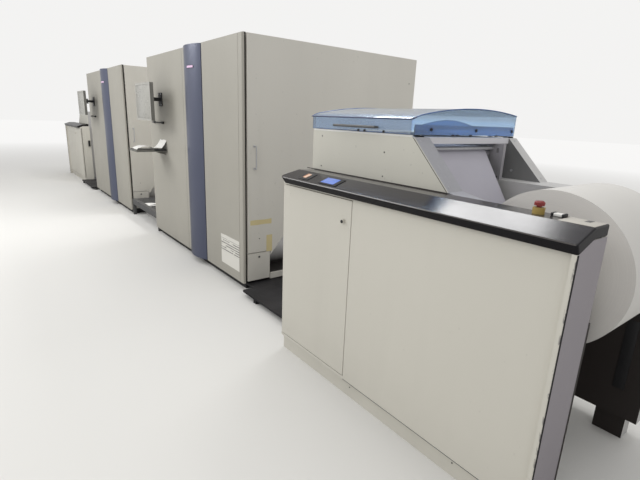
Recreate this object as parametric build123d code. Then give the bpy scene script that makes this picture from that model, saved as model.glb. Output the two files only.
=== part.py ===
from build123d import *
import math
import os

# A continuous feed inkjet press: unwinder, two print towers and rewinder, in one straight line.
# Millimetres. X runs along the line towards the unwinder, Y into the machines, Z up from the floor.
# While the pieces are made, X = 0 is the first tower's unwinder side and Y = 0 the towers' front plane.

# Towers
TOWER_W = 2490.0
TOWER_D = 2070.0
TOWER_H = 2200.0
TOWER_GAP = 1240.0
PLINTH_H = 70.0
PLINTH_INSET = 50.0
FRONT_T = 22.0
SIDE_T = 20.0
SIDE_GAP = 23.0
PANEL_JOINT = 4.0
CORNER_STRIP_W = 70.0
CORNER_STRIP_R = 14.0
RIGHT_PANEL_W = 740.0
DARK_JOINT_W = 20.0
BLUE_W = 420.0
BLUE_BULGE = 55.0
EDGE_STRIP_W = 70.0
ROOF_LIP = 6.0
REAR_JOINT_W = 8.0
REAR_BAYS = 3

# Service plate and web opening, low on each tower side
SERVICE_W = 229.0
SERVICE_Z0 = 85.0
SERVICE_H = 260.0
SERVICE_JOINT = 8.0
LOCK_R = 14.0
LOCK_H = 4.0
LOCK_DROP = 38.0
OPENING_SILL = 125.0
OPENING_W = 865.0
OPENING_LOW_H = 185.0
OPENING_H = 480.0
OPENING_SLOPE = 50.0
OPENING_DEPTH = 250.0

# Bail handle on the side panel
BAIL_Y = 112.0
BAIL_Z = 1210.0
BAIL_L = 200.0
BAIL_R = 5.0
BAIL_LEG = 8.0
BAIL_REACH = 42.0

# Screen on its swivel bracket
SCREEN_W = 550.0
SCREEN_H = 406.0
SCREEN_T = 40.0
SCREEN_MID_X = -1980.0
SCREEN_MID_Z = 1665.0
SCREEN_FRONT_Y = -222.0
SCREEN_EDGE_R = 6.0
SCREEN_BEZEL = 22.0
SCREEN_RECESS = 3.0
PIVOT_X = -2040.0
PIVOT_Y = -110.0
PIVOT_Z = 1700.0
PIVOT_R = 10.0
PIVOT_FIT = 0.06
ARM_W = 34.0
ARM_H = 40.0
EAR_T = 16.0
EAR_GAP = 6.0
EAR_R = 20.0
WALL_PLATE_W = 110.0
WALL_PLATE_H = 150.0
WALL_PLATE_T = 10.0

# Shelf on the first tower
SHELF_W = 300.0
SHELF_D = 350.0
SHELF_T = 5.0
SHELF_LIP = 22.0
SHELF_Z = 1110.0
SHELF_LEFT_X = -2200.0
GUSSET_T = 8.0
GUSSET_D = 110.0
GUSSET_H = 45.0
GUSSET_IN = 60.0

# Unwinder and rewinder: U runs from the tower side of the unit outwards
UNWINDER_GAP = 1050.0
REWINDER_GAP = 1240.0
CONSOLE_L = 1780.0
CONSOLE_D = 186.0
CONSOLE_BACK_Y = -70.0
END_PANEL_T = 20.0
END_PANEL_REACH = 24.0
KICK_H = 100.0
KICK_INSET = 20.0
TOP_UNDER_Z = 1202.0
TOP_T = 43.0
TOP_NOSE_DROP = 37.0
TOP_NOSE_REACH = 47.0
TOP_NOSE_UNDERCUT = 22.0
TOP_RIDGE_D = 109.0
TOP_BACK_GAP = 6.0
TOP_START = 8.0
TOP_SKEW = 94.0
TOP_CORNER_R = 30.0
TOP_END_CORNER_R = 9.0
TOP_EDGE_BEVEL = 4.0

# Console door, on pins in its own thickness
DOOR_W = 652.0
DOOR_T = 20.0
DOOR_EDGE = 3.0
DOOR_JOINT = 5.0
DOOR_BACK_GAP = 11.0
DOOR_PIN_IN = 10.0
DOOR_PIN_R = 5.0
DOOR_PIN_IN_LIP = 9.0
DOOR_PIN_FIT = 0.06
DOOR_PIN_END_GAP = 1.0
DOOR_BOTTOM_LIP = 22.0
DOOR_TOP_Z = 1148.0
CAVITY_D = 130.0
CAVITY_WALL = 24.0
KNOB_R = 12.0
KNOB_H = 14.0
KNOB_FROM_FREE_EDGE = 58.0
KNOB_Z = 1030.0

# Side frames, web and rolls
NEAR_FRAME_T = 110.0
FRAME_CLEAR = 615.0
FAR_FRAME_T = 205.0
FAR_HOUSING_T = 85.0
FRAME_START = 60.0
END_WALL_T = 20.0
FRAME_Z = 1250.0
HOUSING_Z = 1486.0
SLANT_TOP_U = 874.0
SLANT_DEG = 45.6
SEAT_Z = 1060.0
SEAT_W = 230.0
LEDGE_END_Z = 1195.0
NEAR_TAIL_Z = 830.0
NEAR_TAIL_GAP = 30.0
FAR_TAIL = 60.0
FAR_FOOT_H = 150.0
FOOT_W = 140.0
FOOT_IN = 60.0
SKIN_T = 10.0
PLATE_T = 25.0
PLATE_START = 140.0
PLATE_END = 920.0
PLATE_SLOT_W = 14.0
PLATE_SLOT_H = 26.0
WEB_W = 508.0
WEB_T = 1.5
WEB_GAP = 0.5
WEB_END_Z = 620.0
ROLL_R = 336.0
ROLL_FROM_END = 265.0
ROLL_Z = 975.0
CORE_R = 38.0
CORE_T = 8.0
CHUCK_R = 62.0
CHUCK_T = 16.0
CHUCK_PLUG = 60.0
STUB_R = 25.0
STUB_IN = 45.0
STUB_FIT = 0.06
GUIDE_R = 40.0
GUIDE_STUB_R = 12.0
GUIDE_STUB_IN = 30.0
GUIDE_END_GAP = 12.0
INFEED_U = 800.0
INFEED_Z = 1392.0
TURN_U = 200.0
GUARD_ROD_U = 850.0
GUARD_ROD_Z = 1427.0
GUARD_ROD_R = 9.0
BEAM = 120.0
BEAM_Z = 160.0
BEAM_FROM_START = 35.0
BEAM_FROM_ROLL = 395.0
TIE_W = 90.0
TIE_T = 32.0

# Cover over the infeed: one vault section, sprung from the near edge to the far edge
COVER_T = 4.0
COVER_START = 55.0
COVER_LIP = 14.0
COVER_END = 865.0
COVER_SEAT = 11.0
COVER_REACH = 4.0
COVER_CORNER_R = 25.0
COVER_NEAR_TOP = 1570.0
COVER_SHOULDER_W = 60.0
COVER_SHOULDER_RISE = 22.0
COVER_SHOULDER_SAG = 1.5
COVER_CROWN_Z = 1638.0
COVER_CROWN_Y = 474.0
COVER_FAR_TOP = 1611.0
COVER_BAND_H = 50.0
COVER_BAND_T = 4.0
COVER_GRIP_START = 300.0
COVER_GRIP_L = 340.0
COVER_GRIP_R = 7.0
COVER_GRIP_REACH = 30.0
COVER_GRIP_LEG = 12.0
COVER_GRIP_Z = 1524.0
LID_T = 25.0
HINGE_ROD_R = 6.0
HINGE_FIT = 0.06
HINGE_BLOCK = 24.0
HINGE_LUG = 9.0
HINGE_BLOCK_L = 30.0
HINGE_SLEEVE_L = 70.0
HINGE_SLEEVE_T = 6.0
HINGE_ARM_T = 9.6
HINGE_OUT = 18.0
HINGE_ABOVE = 14.0
HINGE_FROM_END = 125.0
HINGE_SIDE_GAP = 5.0

# Emergency stop
STOP_FROM_END = 224.0
STOP_BACK = 51.0
STOP_BASE_R = 22.0
STOP_BASE_H = 24.0
STOP_HEAD_R = 19.0
STOP_HEAD_H = 17.0
STOP_TRAVEL = 5.0
STOP_STEM_W = 14.0
STOP_STEM_FIT = 0.06
STOP_STEM_IN = 14.0
STOP_END_GAP = 2.0

# Latch on the tower-side end of each console
LATCH_W = 40.0
LATCH_H = 126.0
LATCH_T = 16.0
LATCH_Z = 777.0
LATCH_BACK = 14.0

# Step plate, bench and black box
STEP_TOP = 60.0
STEP_T = 20.0
STEP_FRONT = 60.0
STEP_D = 640.0
STEP_FOOT_W = 44.0
STEP_FOOT_IN = 70.0
STEP_FOOT_BACK = 30.0
STEP_START = 100.0
STEP_FIRST_FOOT = 298.0
BENCH_TOP = 245.0
BENCH_FRONT = 25.0
BENCH_D = 500.0
BENCH_RAIL_H = 70.0
BENCH_RAIL_T = 30.0
BENCH_LEG = 40.0
BENCH_DECK_T = 12.0
BENCH_SLOTS = 12
BENCH_SLOT_W = 45.0
BOX_W = 420.0
BOX_D = 180.0
BOX_H = 95.0
BOX_BACK = 230.0
BOX_SIDE = 90.0

# Worked out from the sizes above
UNWINDER_X = UNWINDER_GAP
TOWER_PITCH = TOWER_W + TOWER_GAP
REWINDER_X = -TOWER_PITCH - TOWER_W - REWINDER_GAP
CONSOLE_FRONT_Y = CONSOLE_BACK_Y - CONSOLE_D
REWINDER_Y = -CONSOLE_FRONT_Y
NEAR_IN_Y = CONSOLE_BACK_Y + NEAR_FRAME_T
FAR_IN_Y = NEAR_IN_Y + FRAME_CLEAR
FAR_OUT_Y = FAR_IN_Y + FAR_FRAME_T
WEB_MID_Y = (NEAR_IN_Y + FAR_IN_Y) / 2
WEB_FRONT_Y = WEB_MID_Y - WEB_W / 2
NOSE_Y = CONSOLE_FRONT_Y - TOP_NOSE_REACH
NOSE_UNDER_Z = TOP_UNDER_Z - TOP_NOSE_DROP
TOP_Z = TOP_UNDER_Z + TOP_T
TOP_BACK_Y = CONSOLE_BACK_Y - TOP_BACK_GAP
RIDGE_Y = TOP_BACK_Y - TOP_RIDGE_D
COVER_NEAR_Y = CONSOLE_BACK_Y - SKIN_T - COVER_REACH
HINGE_Y = FAR_OUT_Y + HINGE_OUT
HINGE_Z = HOUSING_Z + HINGE_ABOVE
HINGE_MIDDLES = (COVER_START + HINGE_FROM_END, COVER_END - HINGE_FROM_END)
FAR_HOUSING_Y = FAR_OUT_Y - FAR_HOUSING_T
SLANT_BOTTOM_U = SLANT_TOP_U + (HOUSING_Z - FRAME_Z) / math.tan(math.radians(SLANT_DEG))
ROLL_U = CONSOLE_L - ROLL_FROM_END
BEAM_PLACES = (FRAME_START + BEAM_FROM_START, ROLL_U - BEAM_FROM_ROLL - BEAM)
SERVICE_Y0 = FRONT_T + SIDE_GAP
OPENING_Y0 = SERVICE_Y0 + SERVICE_W + SERVICE_JOINT
LINE_RIGHT = UNWINDER_X + ROLL_U + ROLL_R
LINE_LEFT = REWINDER_X - ROLL_U - ROLL_R
LINE_FRONT = -SHELF_D
LINE_BACK = TOWER_D
TO_PART_FRAME = Location((-(LINE_LEFT + LINE_RIGHT) / 2, -(LINE_FRONT + LINE_BACK) / 2, 0))


def box(x0, x1, y0, y1, z0, z1):
    return Pos((x0 + x1) / 2, (y0 + y1) / 2, (z0 + z1) / 2) * Box(x1 - x0, y1 - y0, z1 - z0)


def rod(axis, at, radius, length):
    """A cylinder that starts at a point and runs along +X, +Y or +Z."""
    turn = {"x": Rotation(0, 90, 0), "y": Rotation(-90, 0, 0), "z": Rotation(0, 0, 0)}[axis]
    upright = Cylinder(radius, length, align=(Align.CENTER, Align.CENTER, Align.MIN))
    return Pos(*at) * turn * upright


def along_x(points, x0, x1):
    """A prism from an outline of (y, z) points, between two X places."""
    outline = make_face(Polyline([(x0, y, z) for y, z in points], close=True))
    return extrude(outline, amount=x1 - x0, dir=(1, 0, 0))


def along_y(points, y0, y1):
    """A prism from an outline of (x, z) points, between two Y places."""
    outline = make_face(Polyline([(x, y0, z) for x, z in points], close=True))
    return extrude(outline, amount=y1 - y0, dir=(0, 1, 0))


# Print tower
def front_edges():
    """X of the front's joints, from the unwinder side to the far side."""
    corner = -CORNER_STRIP_W
    right_panel = corner - RIGHT_PANEL_W
    blue_right = right_panel - DARK_JOINT_W
    blue_left = blue_right - BLUE_W
    strip_left = blue_left - EDGE_STRIP_W
    return corner, right_panel, blue_right, blue_left, strip_left


def side_opening_outline():
    slope = math.tan(math.radians(OPENING_SLOPE))
    low_z = OPENING_SILL + OPENING_LOW_H
    top_z = OPENING_SILL + OPENING_H
    top_y = OPENING_Y0 + (top_z - low_z) / slope
    back_y = OPENING_Y0 + OPENING_W
    return [
        (OPENING_Y0, OPENING_SILL),
        (OPENING_Y0, low_z),
        (top_y, top_z),
        (back_y, top_z),
        (back_y, OPENING_SILL),
    ]


def tower_plinth():
    inset = PLINTH_INSET
    return box(inset - TOWER_W, -inset, inset, TOWER_D - inset, 0, PLINTH_H)


def tower_housing():
    body = box(SIDE_T - TOWER_W, -SIDE_T, FRONT_T, TOWER_D, PLINTH_H, TOWER_H)
    outline = side_opening_outline()
    body -= along_x(outline, -SIDE_T - OPENING_DEPTH, -SIDE_T)
    body -= along_x(outline, SIDE_T - TOWER_W, SIDE_T - TOWER_W + OPENING_DEPTH)
    bay = (TOWER_W - 2 * SIDE_T) / REAR_BAYS
    for number in range(1, REAR_BAYS):
        middle = SIDE_T - TOWER_W + number * bay
        groove = box(
            middle - REAR_JOINT_W / 2,
            middle + REAR_JOINT_W / 2,
            TOWER_D - REAR_JOINT_W,
            TOWER_D,
            PLINTH_H,
            TOWER_H,
        )
        body -= groove
    return body


def tower_front_panels():
    corner, right_panel, blue_right, blue_left, strip_left = front_edges()
    half = PANEL_JOINT / 2
    spans = [
        (corner + half, 0.0),
        (right_panel, corner - half),
        (strip_left + half, blue_left),
        (-TOWER_W, strip_left - half),
    ]
    top = TOWER_H - ROOF_LIP
    strip, *panels = [box(x0, x1, 0, FRONT_T, PLINTH_H, top) for x0, x1 in spans]
    outer_edge = strip.edges().filter_by(Axis.Z).sort_by(lambda edge: edge.center().X - edge.center().Y)[-1]
    return [fillet(outer_edge, CORNER_STRIP_R)] + panels


def tower_blue_panel():
    corner, right_panel, blue_right, blue_left, strip_left = front_edges()
    half = PANEL_JOINT / 2
    left = (blue_left + half, FRONT_T, PLINTH_H)
    right = (blue_right, FRONT_T, PLINTH_H)
    left_front = (blue_left + half, 0, PLINTH_H)
    right_front = (blue_right, 0, PLINTH_H)
    crown = ((blue_left + half + blue_right) / 2, -BLUE_BULGE, PLINTH_H)
    outline = [
        Line(left, left_front),
        ThreePointArc(left_front, crown, right_front),
        Line(right_front, right),
        Line(right, left),
    ]
    return extrude(make_face(outline), amount=TOWER_H - ROOF_LIP - PLINTH_H, dir=(0, 0, 1))


def one_side_panel():
    """The unwinder side's big panel and its lower service plate."""
    panel = box(-SIDE_T, 0, SERVICE_Y0, TOWER_D, PLINTH_H, TOWER_H - ROOF_LIP)
    panel -= along_x(side_opening_outline(), -SIDE_T, 0)
    y1 = SERVICE_Y0 + SERVICE_W
    z1 = SERVICE_Z0 + SERVICE_H
    panel -= box(-SIDE_T, 0, SERVICE_Y0, OPENING_Y0, PLINTH_H, z1 + SERVICE_JOINT)
    plate = box(-SIDE_T, 0, SERVICE_Y0, y1, SERVICE_Z0, z1)
    lock_at = (0, (SERVICE_Y0 + y1) / 2, z1 - LOCK_DROP)
    plate += rod("x", lock_at, LOCK_R, LOCK_H)
    return [panel, plate]


def both_sides(pieces):
    """The same pieces on the unwinder side and mirrored on the far side."""
    far_side = Pos(-TOWER_W, 0, 0)
    return pieces + [far_side * mirror(piece, about=Plane.YZ) for piece in pieces]


def tower_side_panels():
    return both_sides(one_side_panel())


def tower_side_handles():
    z0 = BAIL_Z - BAIL_L / 2
    z1 = BAIL_Z + BAIL_L / 2
    grip_x = BAIL_REACH - BAIL_R
    handle = rod("z", (grip_x, BAIL_Y, z0), BAIL_R, BAIL_L)
    for z in (z0, z1 - BAIL_LEG):
        handle += box(0, grip_x, BAIL_Y - BAIL_LEG / 2, BAIL_Y + BAIL_LEG / 2, z, z + BAIL_LEG)
    return both_sides([handle])


def tower_screen_bracket():
    """Wall plate, short arm and the upright pin that the screen turns on."""
    half_plate = WALL_PLATE_W / 2
    bracket = box(
        PIVOT_X - half_plate,
        PIVOT_X + half_plate,
        -WALL_PLATE_T,
        0,
        PIVOT_Z - WALL_PLATE_H / 2,
        PIVOT_Z + WALL_PLATE_H / 2,
    )
    half_arm = ARM_W / 2
    z0 = PIVOT_Z - ARM_H / 2
    arm_end = PIVOT_Y - half_arm
    bracket += box(PIVOT_X - half_arm, PIVOT_X + half_arm, arm_end, -WALL_PLATE_T, z0, z0 + ARM_H)
    pin_reach = EAR_GAP + EAR_T
    bracket += rod("z", (PIVOT_X, PIVOT_Y, z0 - pin_reach), PIVOT_R, ARM_H + 2 * pin_reach)
    return bracket


def tower_screen():
    """Flat screen with a raised rim and two ears round the bracket's pin."""
    x0 = SCREEN_MID_X - SCREEN_W / 2
    z0 = SCREEN_MID_Z - SCREEN_H / 2
    back_y = SCREEN_FRONT_Y + SCREEN_T
    screen = box(x0, x0 + SCREEN_W, SCREEN_FRONT_Y, back_y, z0, z0 + SCREEN_H)
    screen = fillet(screen.edges().filter_by(Axis.Y), SCREEN_EDGE_R)
    screen -= box(
        x0 + SCREEN_BEZEL,
        x0 + SCREEN_W - SCREEN_BEZEL,
        SCREEN_FRONT_Y,
        SCREEN_FRONT_Y + SCREEN_RECESS,
        z0 + SCREEN_BEZEL,
        z0 + SCREEN_H - SCREEN_BEZEL,
    )
    ear_z0 = PIVOT_Z - ARM_H / 2 - EAR_GAP - EAR_T
    ear_z1 = PIVOT_Z + ARM_H / 2 + EAR_GAP
    for z in (ear_z0, ear_z1):
        ear = box(PIVOT_X - EAR_R, PIVOT_X + EAR_R, back_y, PIVOT_Y, z, z + EAR_T)
        ear += rod("z", (PIVOT_X, PIVOT_Y, z), EAR_R, EAR_T)
        ear -= rod("z", (PIVOT_X, PIVOT_Y, z), PIVOT_R + PIVOT_FIT, EAR_T)
        screen += ear
    return screen


def paper_shelf():
    x0 = SHELF_LEFT_X
    x1 = x0 + SHELF_W
    shelf = box(x0, x1, -SHELF_D, 0, SHELF_Z, SHELF_Z + SHELF_T)
    lip_z = SHELF_Z + SHELF_LIP
    shelf += box(x0, x0 + SHELF_T, -SHELF_D, 0, SHELF_Z, lip_z)
    shelf += box(x1 - SHELF_T, x1, -SHELF_D, 0, SHELF_Z, lip_z)
    shelf += box(x0, x1, -SHELF_D, SHELF_T - SHELF_D, SHELF_Z, lip_z)
    gusset = [(-GUSSET_D, SHELF_Z), (0, SHELF_Z), (0, SHELF_Z - GUSSET_H)]
    for x in (x0 + GUSSET_IN, x1 - GUSSET_IN - GUSSET_T):
        shelf += along_x(gusset, x, x + GUSSET_T)
    return shelf


# Console of the unwinder and the rewinder
def console_outline(front_y, floor_z):
    """The console's section under the black top: the top's sloped underside is followed."""
    slope = TOP_NOSE_DROP / (RIDGE_Y - (NOSE_Y + TOP_NOSE_UNDERCUT))
    front_z = NOSE_UNDER_Z + slope * (front_y - NOSE_Y - TOP_NOSE_UNDERCUT)
    return [
        (front_y, floor_z),
        (CONSOLE_BACK_Y, floor_z),
        (CONSOLE_BACK_Y, TOP_UNDER_Z),
        (RIDGE_Y, TOP_UNDER_Z),
        (front_y, front_z),
    ]


def console_body():
    """Console with its end panel and door recess, and the bores of the door's pins."""
    body_end = CONSOLE_L - END_PANEL_T
    body = along_x(console_outline(CONSOLE_FRONT_Y, KICK_H), 0, body_end)
    body += box(0, body_end, CONSOLE_FRONT_Y + KICK_INSET, CONSOLE_BACK_Y, 0, KICK_H)
    end_front = CONSOLE_FRONT_Y - END_PANEL_REACH
    body += along_x(console_outline(end_front, 0), body_end, CONSOLE_L)
    door_z0 = KICK_H + DOOR_BOTTOM_LIP
    recess_back = CONSOLE_FRONT_Y + DOOR_T + DOOR_BACK_GAP
    recess_u1 = DOOR_EDGE + DOOR_W + DOOR_JOINT
    body -= box(
        0,
        recess_u1,
        CONSOLE_FRONT_Y,
        recess_back,
        door_z0 - DOOR_JOINT,
        DOOR_TOP_Z + DOOR_JOINT,
    )
    body -= box(
        CAVITY_WALL,
        recess_u1 - CAVITY_WALL,
        recess_back,
        recess_back + CAVITY_D,
        door_z0 + CAVITY_WALL / 2,
        DOOR_TOP_Z - CAVITY_WALL / 2,
    )
    pin = door_pin_place()
    hole_r = DOOR_PIN_R + DOOR_PIN_FIT
    reach = DOOR_JOINT + DOOR_PIN_IN_LIP + DOOR_PIN_END_GAP
    body -= rod("z", (*pin, door_z0 - reach), hole_r, reach)
    body -= rod("z", (*pin, DOOR_TOP_Z), hole_r, reach)
    return body


def door_pin_place():
    return DOOR_EDGE + DOOR_PIN_IN, CONSOLE_FRONT_Y + DOOR_PIN_IN


def console_door():
    door_z0 = KICK_H + DOOR_BOTTOM_LIP
    front = CONSOLE_FRONT_Y
    door = box(DOOR_EDGE, DOOR_EDGE + DOOR_W, front, front + DOOR_T, door_z0, DOOR_TOP_Z)
    pin = door_pin_place()
    reach = DOOR_JOINT + DOOR_PIN_IN_LIP
    door += rod("z", (*pin, door_z0 - reach), DOOR_PIN_R, reach)
    door += rod("z", (*pin, DOOR_TOP_Z), DOOR_PIN_R, reach)
    knob_u = DOOR_EDGE + DOOR_W - KNOB_FROM_FREE_EDGE
    door += rod("y", (knob_u, front - KNOB_H, KNOB_Z), KNOB_R, KNOB_H)
    return door


def console_top():
    """Black desk top: sloped front with a nose, flat ridge, and a tower-side end cut on the skew."""
    outline = [
        (NOSE_Y, TOP_UNDER_Z),
        (RIDGE_Y, TOP_Z),
        (TOP_BACK_Y, TOP_Z),
        (TOP_BACK_Y, TOP_UNDER_Z),
        (RIDGE_Y, TOP_UNDER_Z),
        (NOSE_Y + TOP_NOSE_UNDERCUT, NOSE_UNDER_Z),
    ]
    top = along_x(outline, TOP_START, CONSOLE_L)
    skew = [
        (TOP_START, NOSE_Y, NOSE_UNDER_Z),
        (TOP_START + TOP_SKEW, TOP_BACK_Y, NOSE_UNDER_Z),
        (TOP_START, TOP_BACK_Y, NOSE_UNDER_Z),
    ]
    top -= extrude(make_face(Polyline(skew, close=True)), amount=TOP_Z - NOSE_UNDER_Z, dir=(0, 0, 1))
    for end, radius in ((0, TOP_CORNER_R), (-1, TOP_END_CORNER_R)):
        corners = [edge for edge in top.edges() if is_nose_corner(edge)]
        top = fillet(sorted(corners, key=lambda edge: edge.center().X)[end], radius)
    return chamfer([edge for edge in top.edges() if is_top_rim(edge)], TOP_EDGE_BEVEL)


def is_top_rim(edge):
    """An edge of the nose line or of the slope's and the ridge's ends, on the upper side."""
    centre = edge.center()
    above = centre.Z > TOP_UNDER_Z - TOP_EDGE_BEVEL / 2
    at_end = edge.length < TOP_SKEW + TOP_RIDGE_D
    on_nose = centre.Y < NOSE_Y + TOP_EDGE_BEVEL / 2
    before_back = centre.Y < TOP_BACK_Y - TOP_EDGE_BEVEL
    return above and before_back and (at_end or on_nose)


def is_nose_corner(edge):
    """An edge between the nose's undercut face and an end."""
    centre = edge.center()
    inside = NOSE_UNDER_Z + TOP_EDGE_BEVEL < centre.Z < TOP_UNDER_Z - TOP_EDGE_BEVEL
    return inside and centre.Y < NOSE_Y + TOP_NOSE_UNDERCUT


def end_latch():
    y1 = CONSOLE_BACK_Y - LATCH_BACK
    return box(-LATCH_T, 0, y1 - LATCH_W, y1, LATCH_Z, LATCH_Z + LATCH_H)


# Side frames and web path
def bored(frame, face_y, direction, places):
    """Blind bores in a face at a Y place, running along -Y or +Y."""
    for u, z, radius, depth in places:
        start = face_y if direction > 0 else face_y - depth
        frame -= rod("y", (u, start, z), radius, depth)
    return frame


def roll_bore():
    return ROLL_U, ROLL_Z, STUB_R + STUB_FIT, STUB_IN


def guide_bore(depth):
    return INFEED_U, INFEED_Z, GUIDE_STUB_R + STUB_FIT, depth


def near_frame(turning):
    """Near side frame: housing with a slanted end, falling ledge, seat for the roll's chuck, low tail."""
    start = FRAME_START + END_WALL_T
    tail_end = CONSOLE_L - NEAR_TAIL_GAP
    seat_start = ROLL_U - SEAT_W / 2
    seat_end = ROLL_U + SEAT_W / 2
    outline = [
        (start, 0),
        (tail_end, 0),
        (tail_end, NEAR_TAIL_Z),
        (seat_end + (SEAT_Z - NEAR_TAIL_Z) / 2, NEAR_TAIL_Z),
        (seat_end, SEAT_Z),
        (seat_start, SEAT_Z),
        (seat_start, LEDGE_END_Z),
        (SLANT_BOTTOM_U, FRAME_Z),
        (SLANT_TOP_U, HOUSING_Z),
        (start, HOUSING_Z),
    ]
    frame = along_y(outline, CONSOLE_BACK_Y, NEAR_IN_Y)
    bores = [roll_bore(), guide_bore(GUIDE_STUB_IN)] if turning else []
    return bored(frame, NEAR_IN_Y, -1, bores)


def far_frame(turning):
    """Far side frame: deep lower box on feet, thinner housing wall above its ledge."""
    start = FRAME_START + END_WALL_T
    end = CONSOLE_L + FAR_TAIL
    frame = box(start, end, FAR_IN_Y, FAR_OUT_Y, FAR_FOOT_H, FRAME_Z)
    wall = [
        (start, FRAME_Z),
        (SLANT_BOTTOM_U, FRAME_Z),
        (SLANT_TOP_U, HOUSING_Z),
        (start, HOUSING_Z),
    ]
    frame += along_y(wall, FAR_HOUSING_Y, FAR_OUT_Y)
    for u in (start + FOOT_IN, end - FOOT_IN - FOOT_W):
        frame += box(u, u + FOOT_W, FAR_IN_Y + FOOT_IN, FAR_OUT_Y - FOOT_IN, 0, FAR_FOOT_H)
    if turning:
        frame += hinge_rod_and_blocks()
        frame = bored(frame, FAR_IN_Y, 1, [roll_bore()])
    return frame


def roller_plate(turning):
    """Plate on the far frame's ledge that carries the guide rollers' far ends."""
    y1 = FAR_IN_Y + PLATE_T
    top = HOUSING_Z - TIE_T
    plate = box(PLATE_START, PLATE_END, FAR_IN_Y, y1, FRAME_Z, top)
    slot_u = PLATE_END - 2 * PLATE_SLOT_W
    slot_z = top - 2 * PLATE_SLOT_H
    plate -= box(slot_u - PLATE_SLOT_W, slot_u, FAR_IN_Y, y1, slot_z, slot_z + PLATE_SLOT_H)
    return bored(plate, FAR_IN_Y, 1, [guide_bore(PLATE_T)]) if turning else plate


def end_wall():
    """Closing wall on the frames' tower-side ends."""
    return box(FRAME_START, FRAME_START + END_WALL_T, CONSOLE_BACK_Y, FAR_OUT_Y, KICK_H, HOUSING_Z)


def hinge_rod_and_blocks():
    """Blocks on the far frame's back that hold one rod at each of the cover's two sleeves."""
    pieces = Part()
    half = HINGE_SLEEVE_L / 2 + HINGE_SIDE_GAP
    y0 = HINGE_Y - HINGE_LUG
    y1 = HINGE_Y + HINGE_LUG
    for middle in HINGE_MIDDLES:
        first = middle - half - HINGE_BLOCK_L
        pieces += rod("x", (first, HINGE_Y, HINGE_Z), HINGE_ROD_R, 2 * (half + HINGE_BLOCK_L))
        for u in (first, middle + half):
            block_z = HOUSING_Z - HINGE_BLOCK
            pieces += box(u, u + HINGE_BLOCK_L, FAR_OUT_Y, y1, block_z, HOUSING_Z)
            pieces += box(u, u + HINGE_BLOCK_L, y0, y1, HOUSING_Z, HINGE_Z + HINGE_LUG)
    return pieces


def cross_beams():
    """Two low beams between the frames and the tie at the housing's slanted end."""
    beams = [box(u, u + BEAM, NEAR_IN_Y, FAR_IN_Y, BEAM_Z, BEAM_Z + BEAM) for u in BEAM_PLACES]
    tie_end = SLANT_TOP_U
    z0 = HOUSING_Z - TIE_T
    beams.append(box(tie_end - TIE_W, tie_end, NEAR_IN_Y, FAR_HOUSING_Y, z0, HOUSING_Z))
    return beams


def guard_rod():
    """Thin rod across the frames, just outside the web where it passes over the infeed roller."""
    return rod("y", (GUARD_ROD_U, NEAR_IN_Y, GUARD_ROD_Z), GUARD_ROD_R, FRAME_CLEAR)


def infeed_side_panel():
    """Cream skin on the near frame above the console, with the frame's slanted end."""
    outline = [
        (FRAME_START, FRAME_Z),
        (SLANT_BOTTOM_U, FRAME_Z),
        (SLANT_TOP_U, HOUSING_Z),
        (FRAME_START, HOUSING_Z),
    ]
    return along_y(outline, CONSOLE_BACK_Y - SKIN_T, CONSOLE_BACK_Y)


def paper_roll():
    y1 = WEB_FRONT_Y + WEB_W
    roll = rod("y", (ROLL_U, WEB_FRONT_Y, ROLL_Z), ROLL_R, WEB_W)
    return roll - rod("y", (ROLL_U, WEB_FRONT_Y, ROLL_Z), CORE_R, y1 - WEB_FRONT_Y)


def roll_chucks(turning):
    """Two chucks: a plug in the core, a flange at the paper's end and a stub to the frame."""
    stub_in = STUB_IN if turning else 0
    y0 = WEB_FRONT_Y
    y1 = WEB_FRONT_Y + WEB_W
    near = rod("y", (ROLL_U, y0, ROLL_Z), CORE_R, CHUCK_PLUG)
    near += rod("y", (ROLL_U, y0 - CHUCK_T, ROLL_Z), CHUCK_R, CHUCK_T)
    near_stub = NEAR_IN_Y - stub_in
    near += rod("y", (ROLL_U, near_stub, ROLL_Z), STUB_R, y0 - near_stub)
    far = rod("y", (ROLL_U, y1 - CHUCK_PLUG, ROLL_Z), CORE_R, CHUCK_PLUG)
    far += rod("y", (ROLL_U, y1, ROLL_Z), CHUCK_R, CHUCK_T)
    far += rod("y", (ROLL_U, y1, ROLL_Z), STUB_R, FAR_IN_Y + stub_in - y1)
    return [near, far]


def guide_roller(u, z, turning):
    """A roller whose stubs end in bores where it turns and on the frames' faces where it is fixed."""
    y0 = NEAR_IN_Y + GUIDE_END_GAP
    roller = rod("y", (u, y0, z), GUIDE_R, FRAME_CLEAR - 2 * GUIDE_END_GAP)
    stub_y = NEAR_IN_Y - (GUIDE_STUB_IN if turning else 0)
    far_y = FAR_IN_Y + (PLATE_T if turning else 0)
    return roller + rod("y", (u, stub_y, z), GUIDE_STUB_R, far_y - stub_y)


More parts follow.
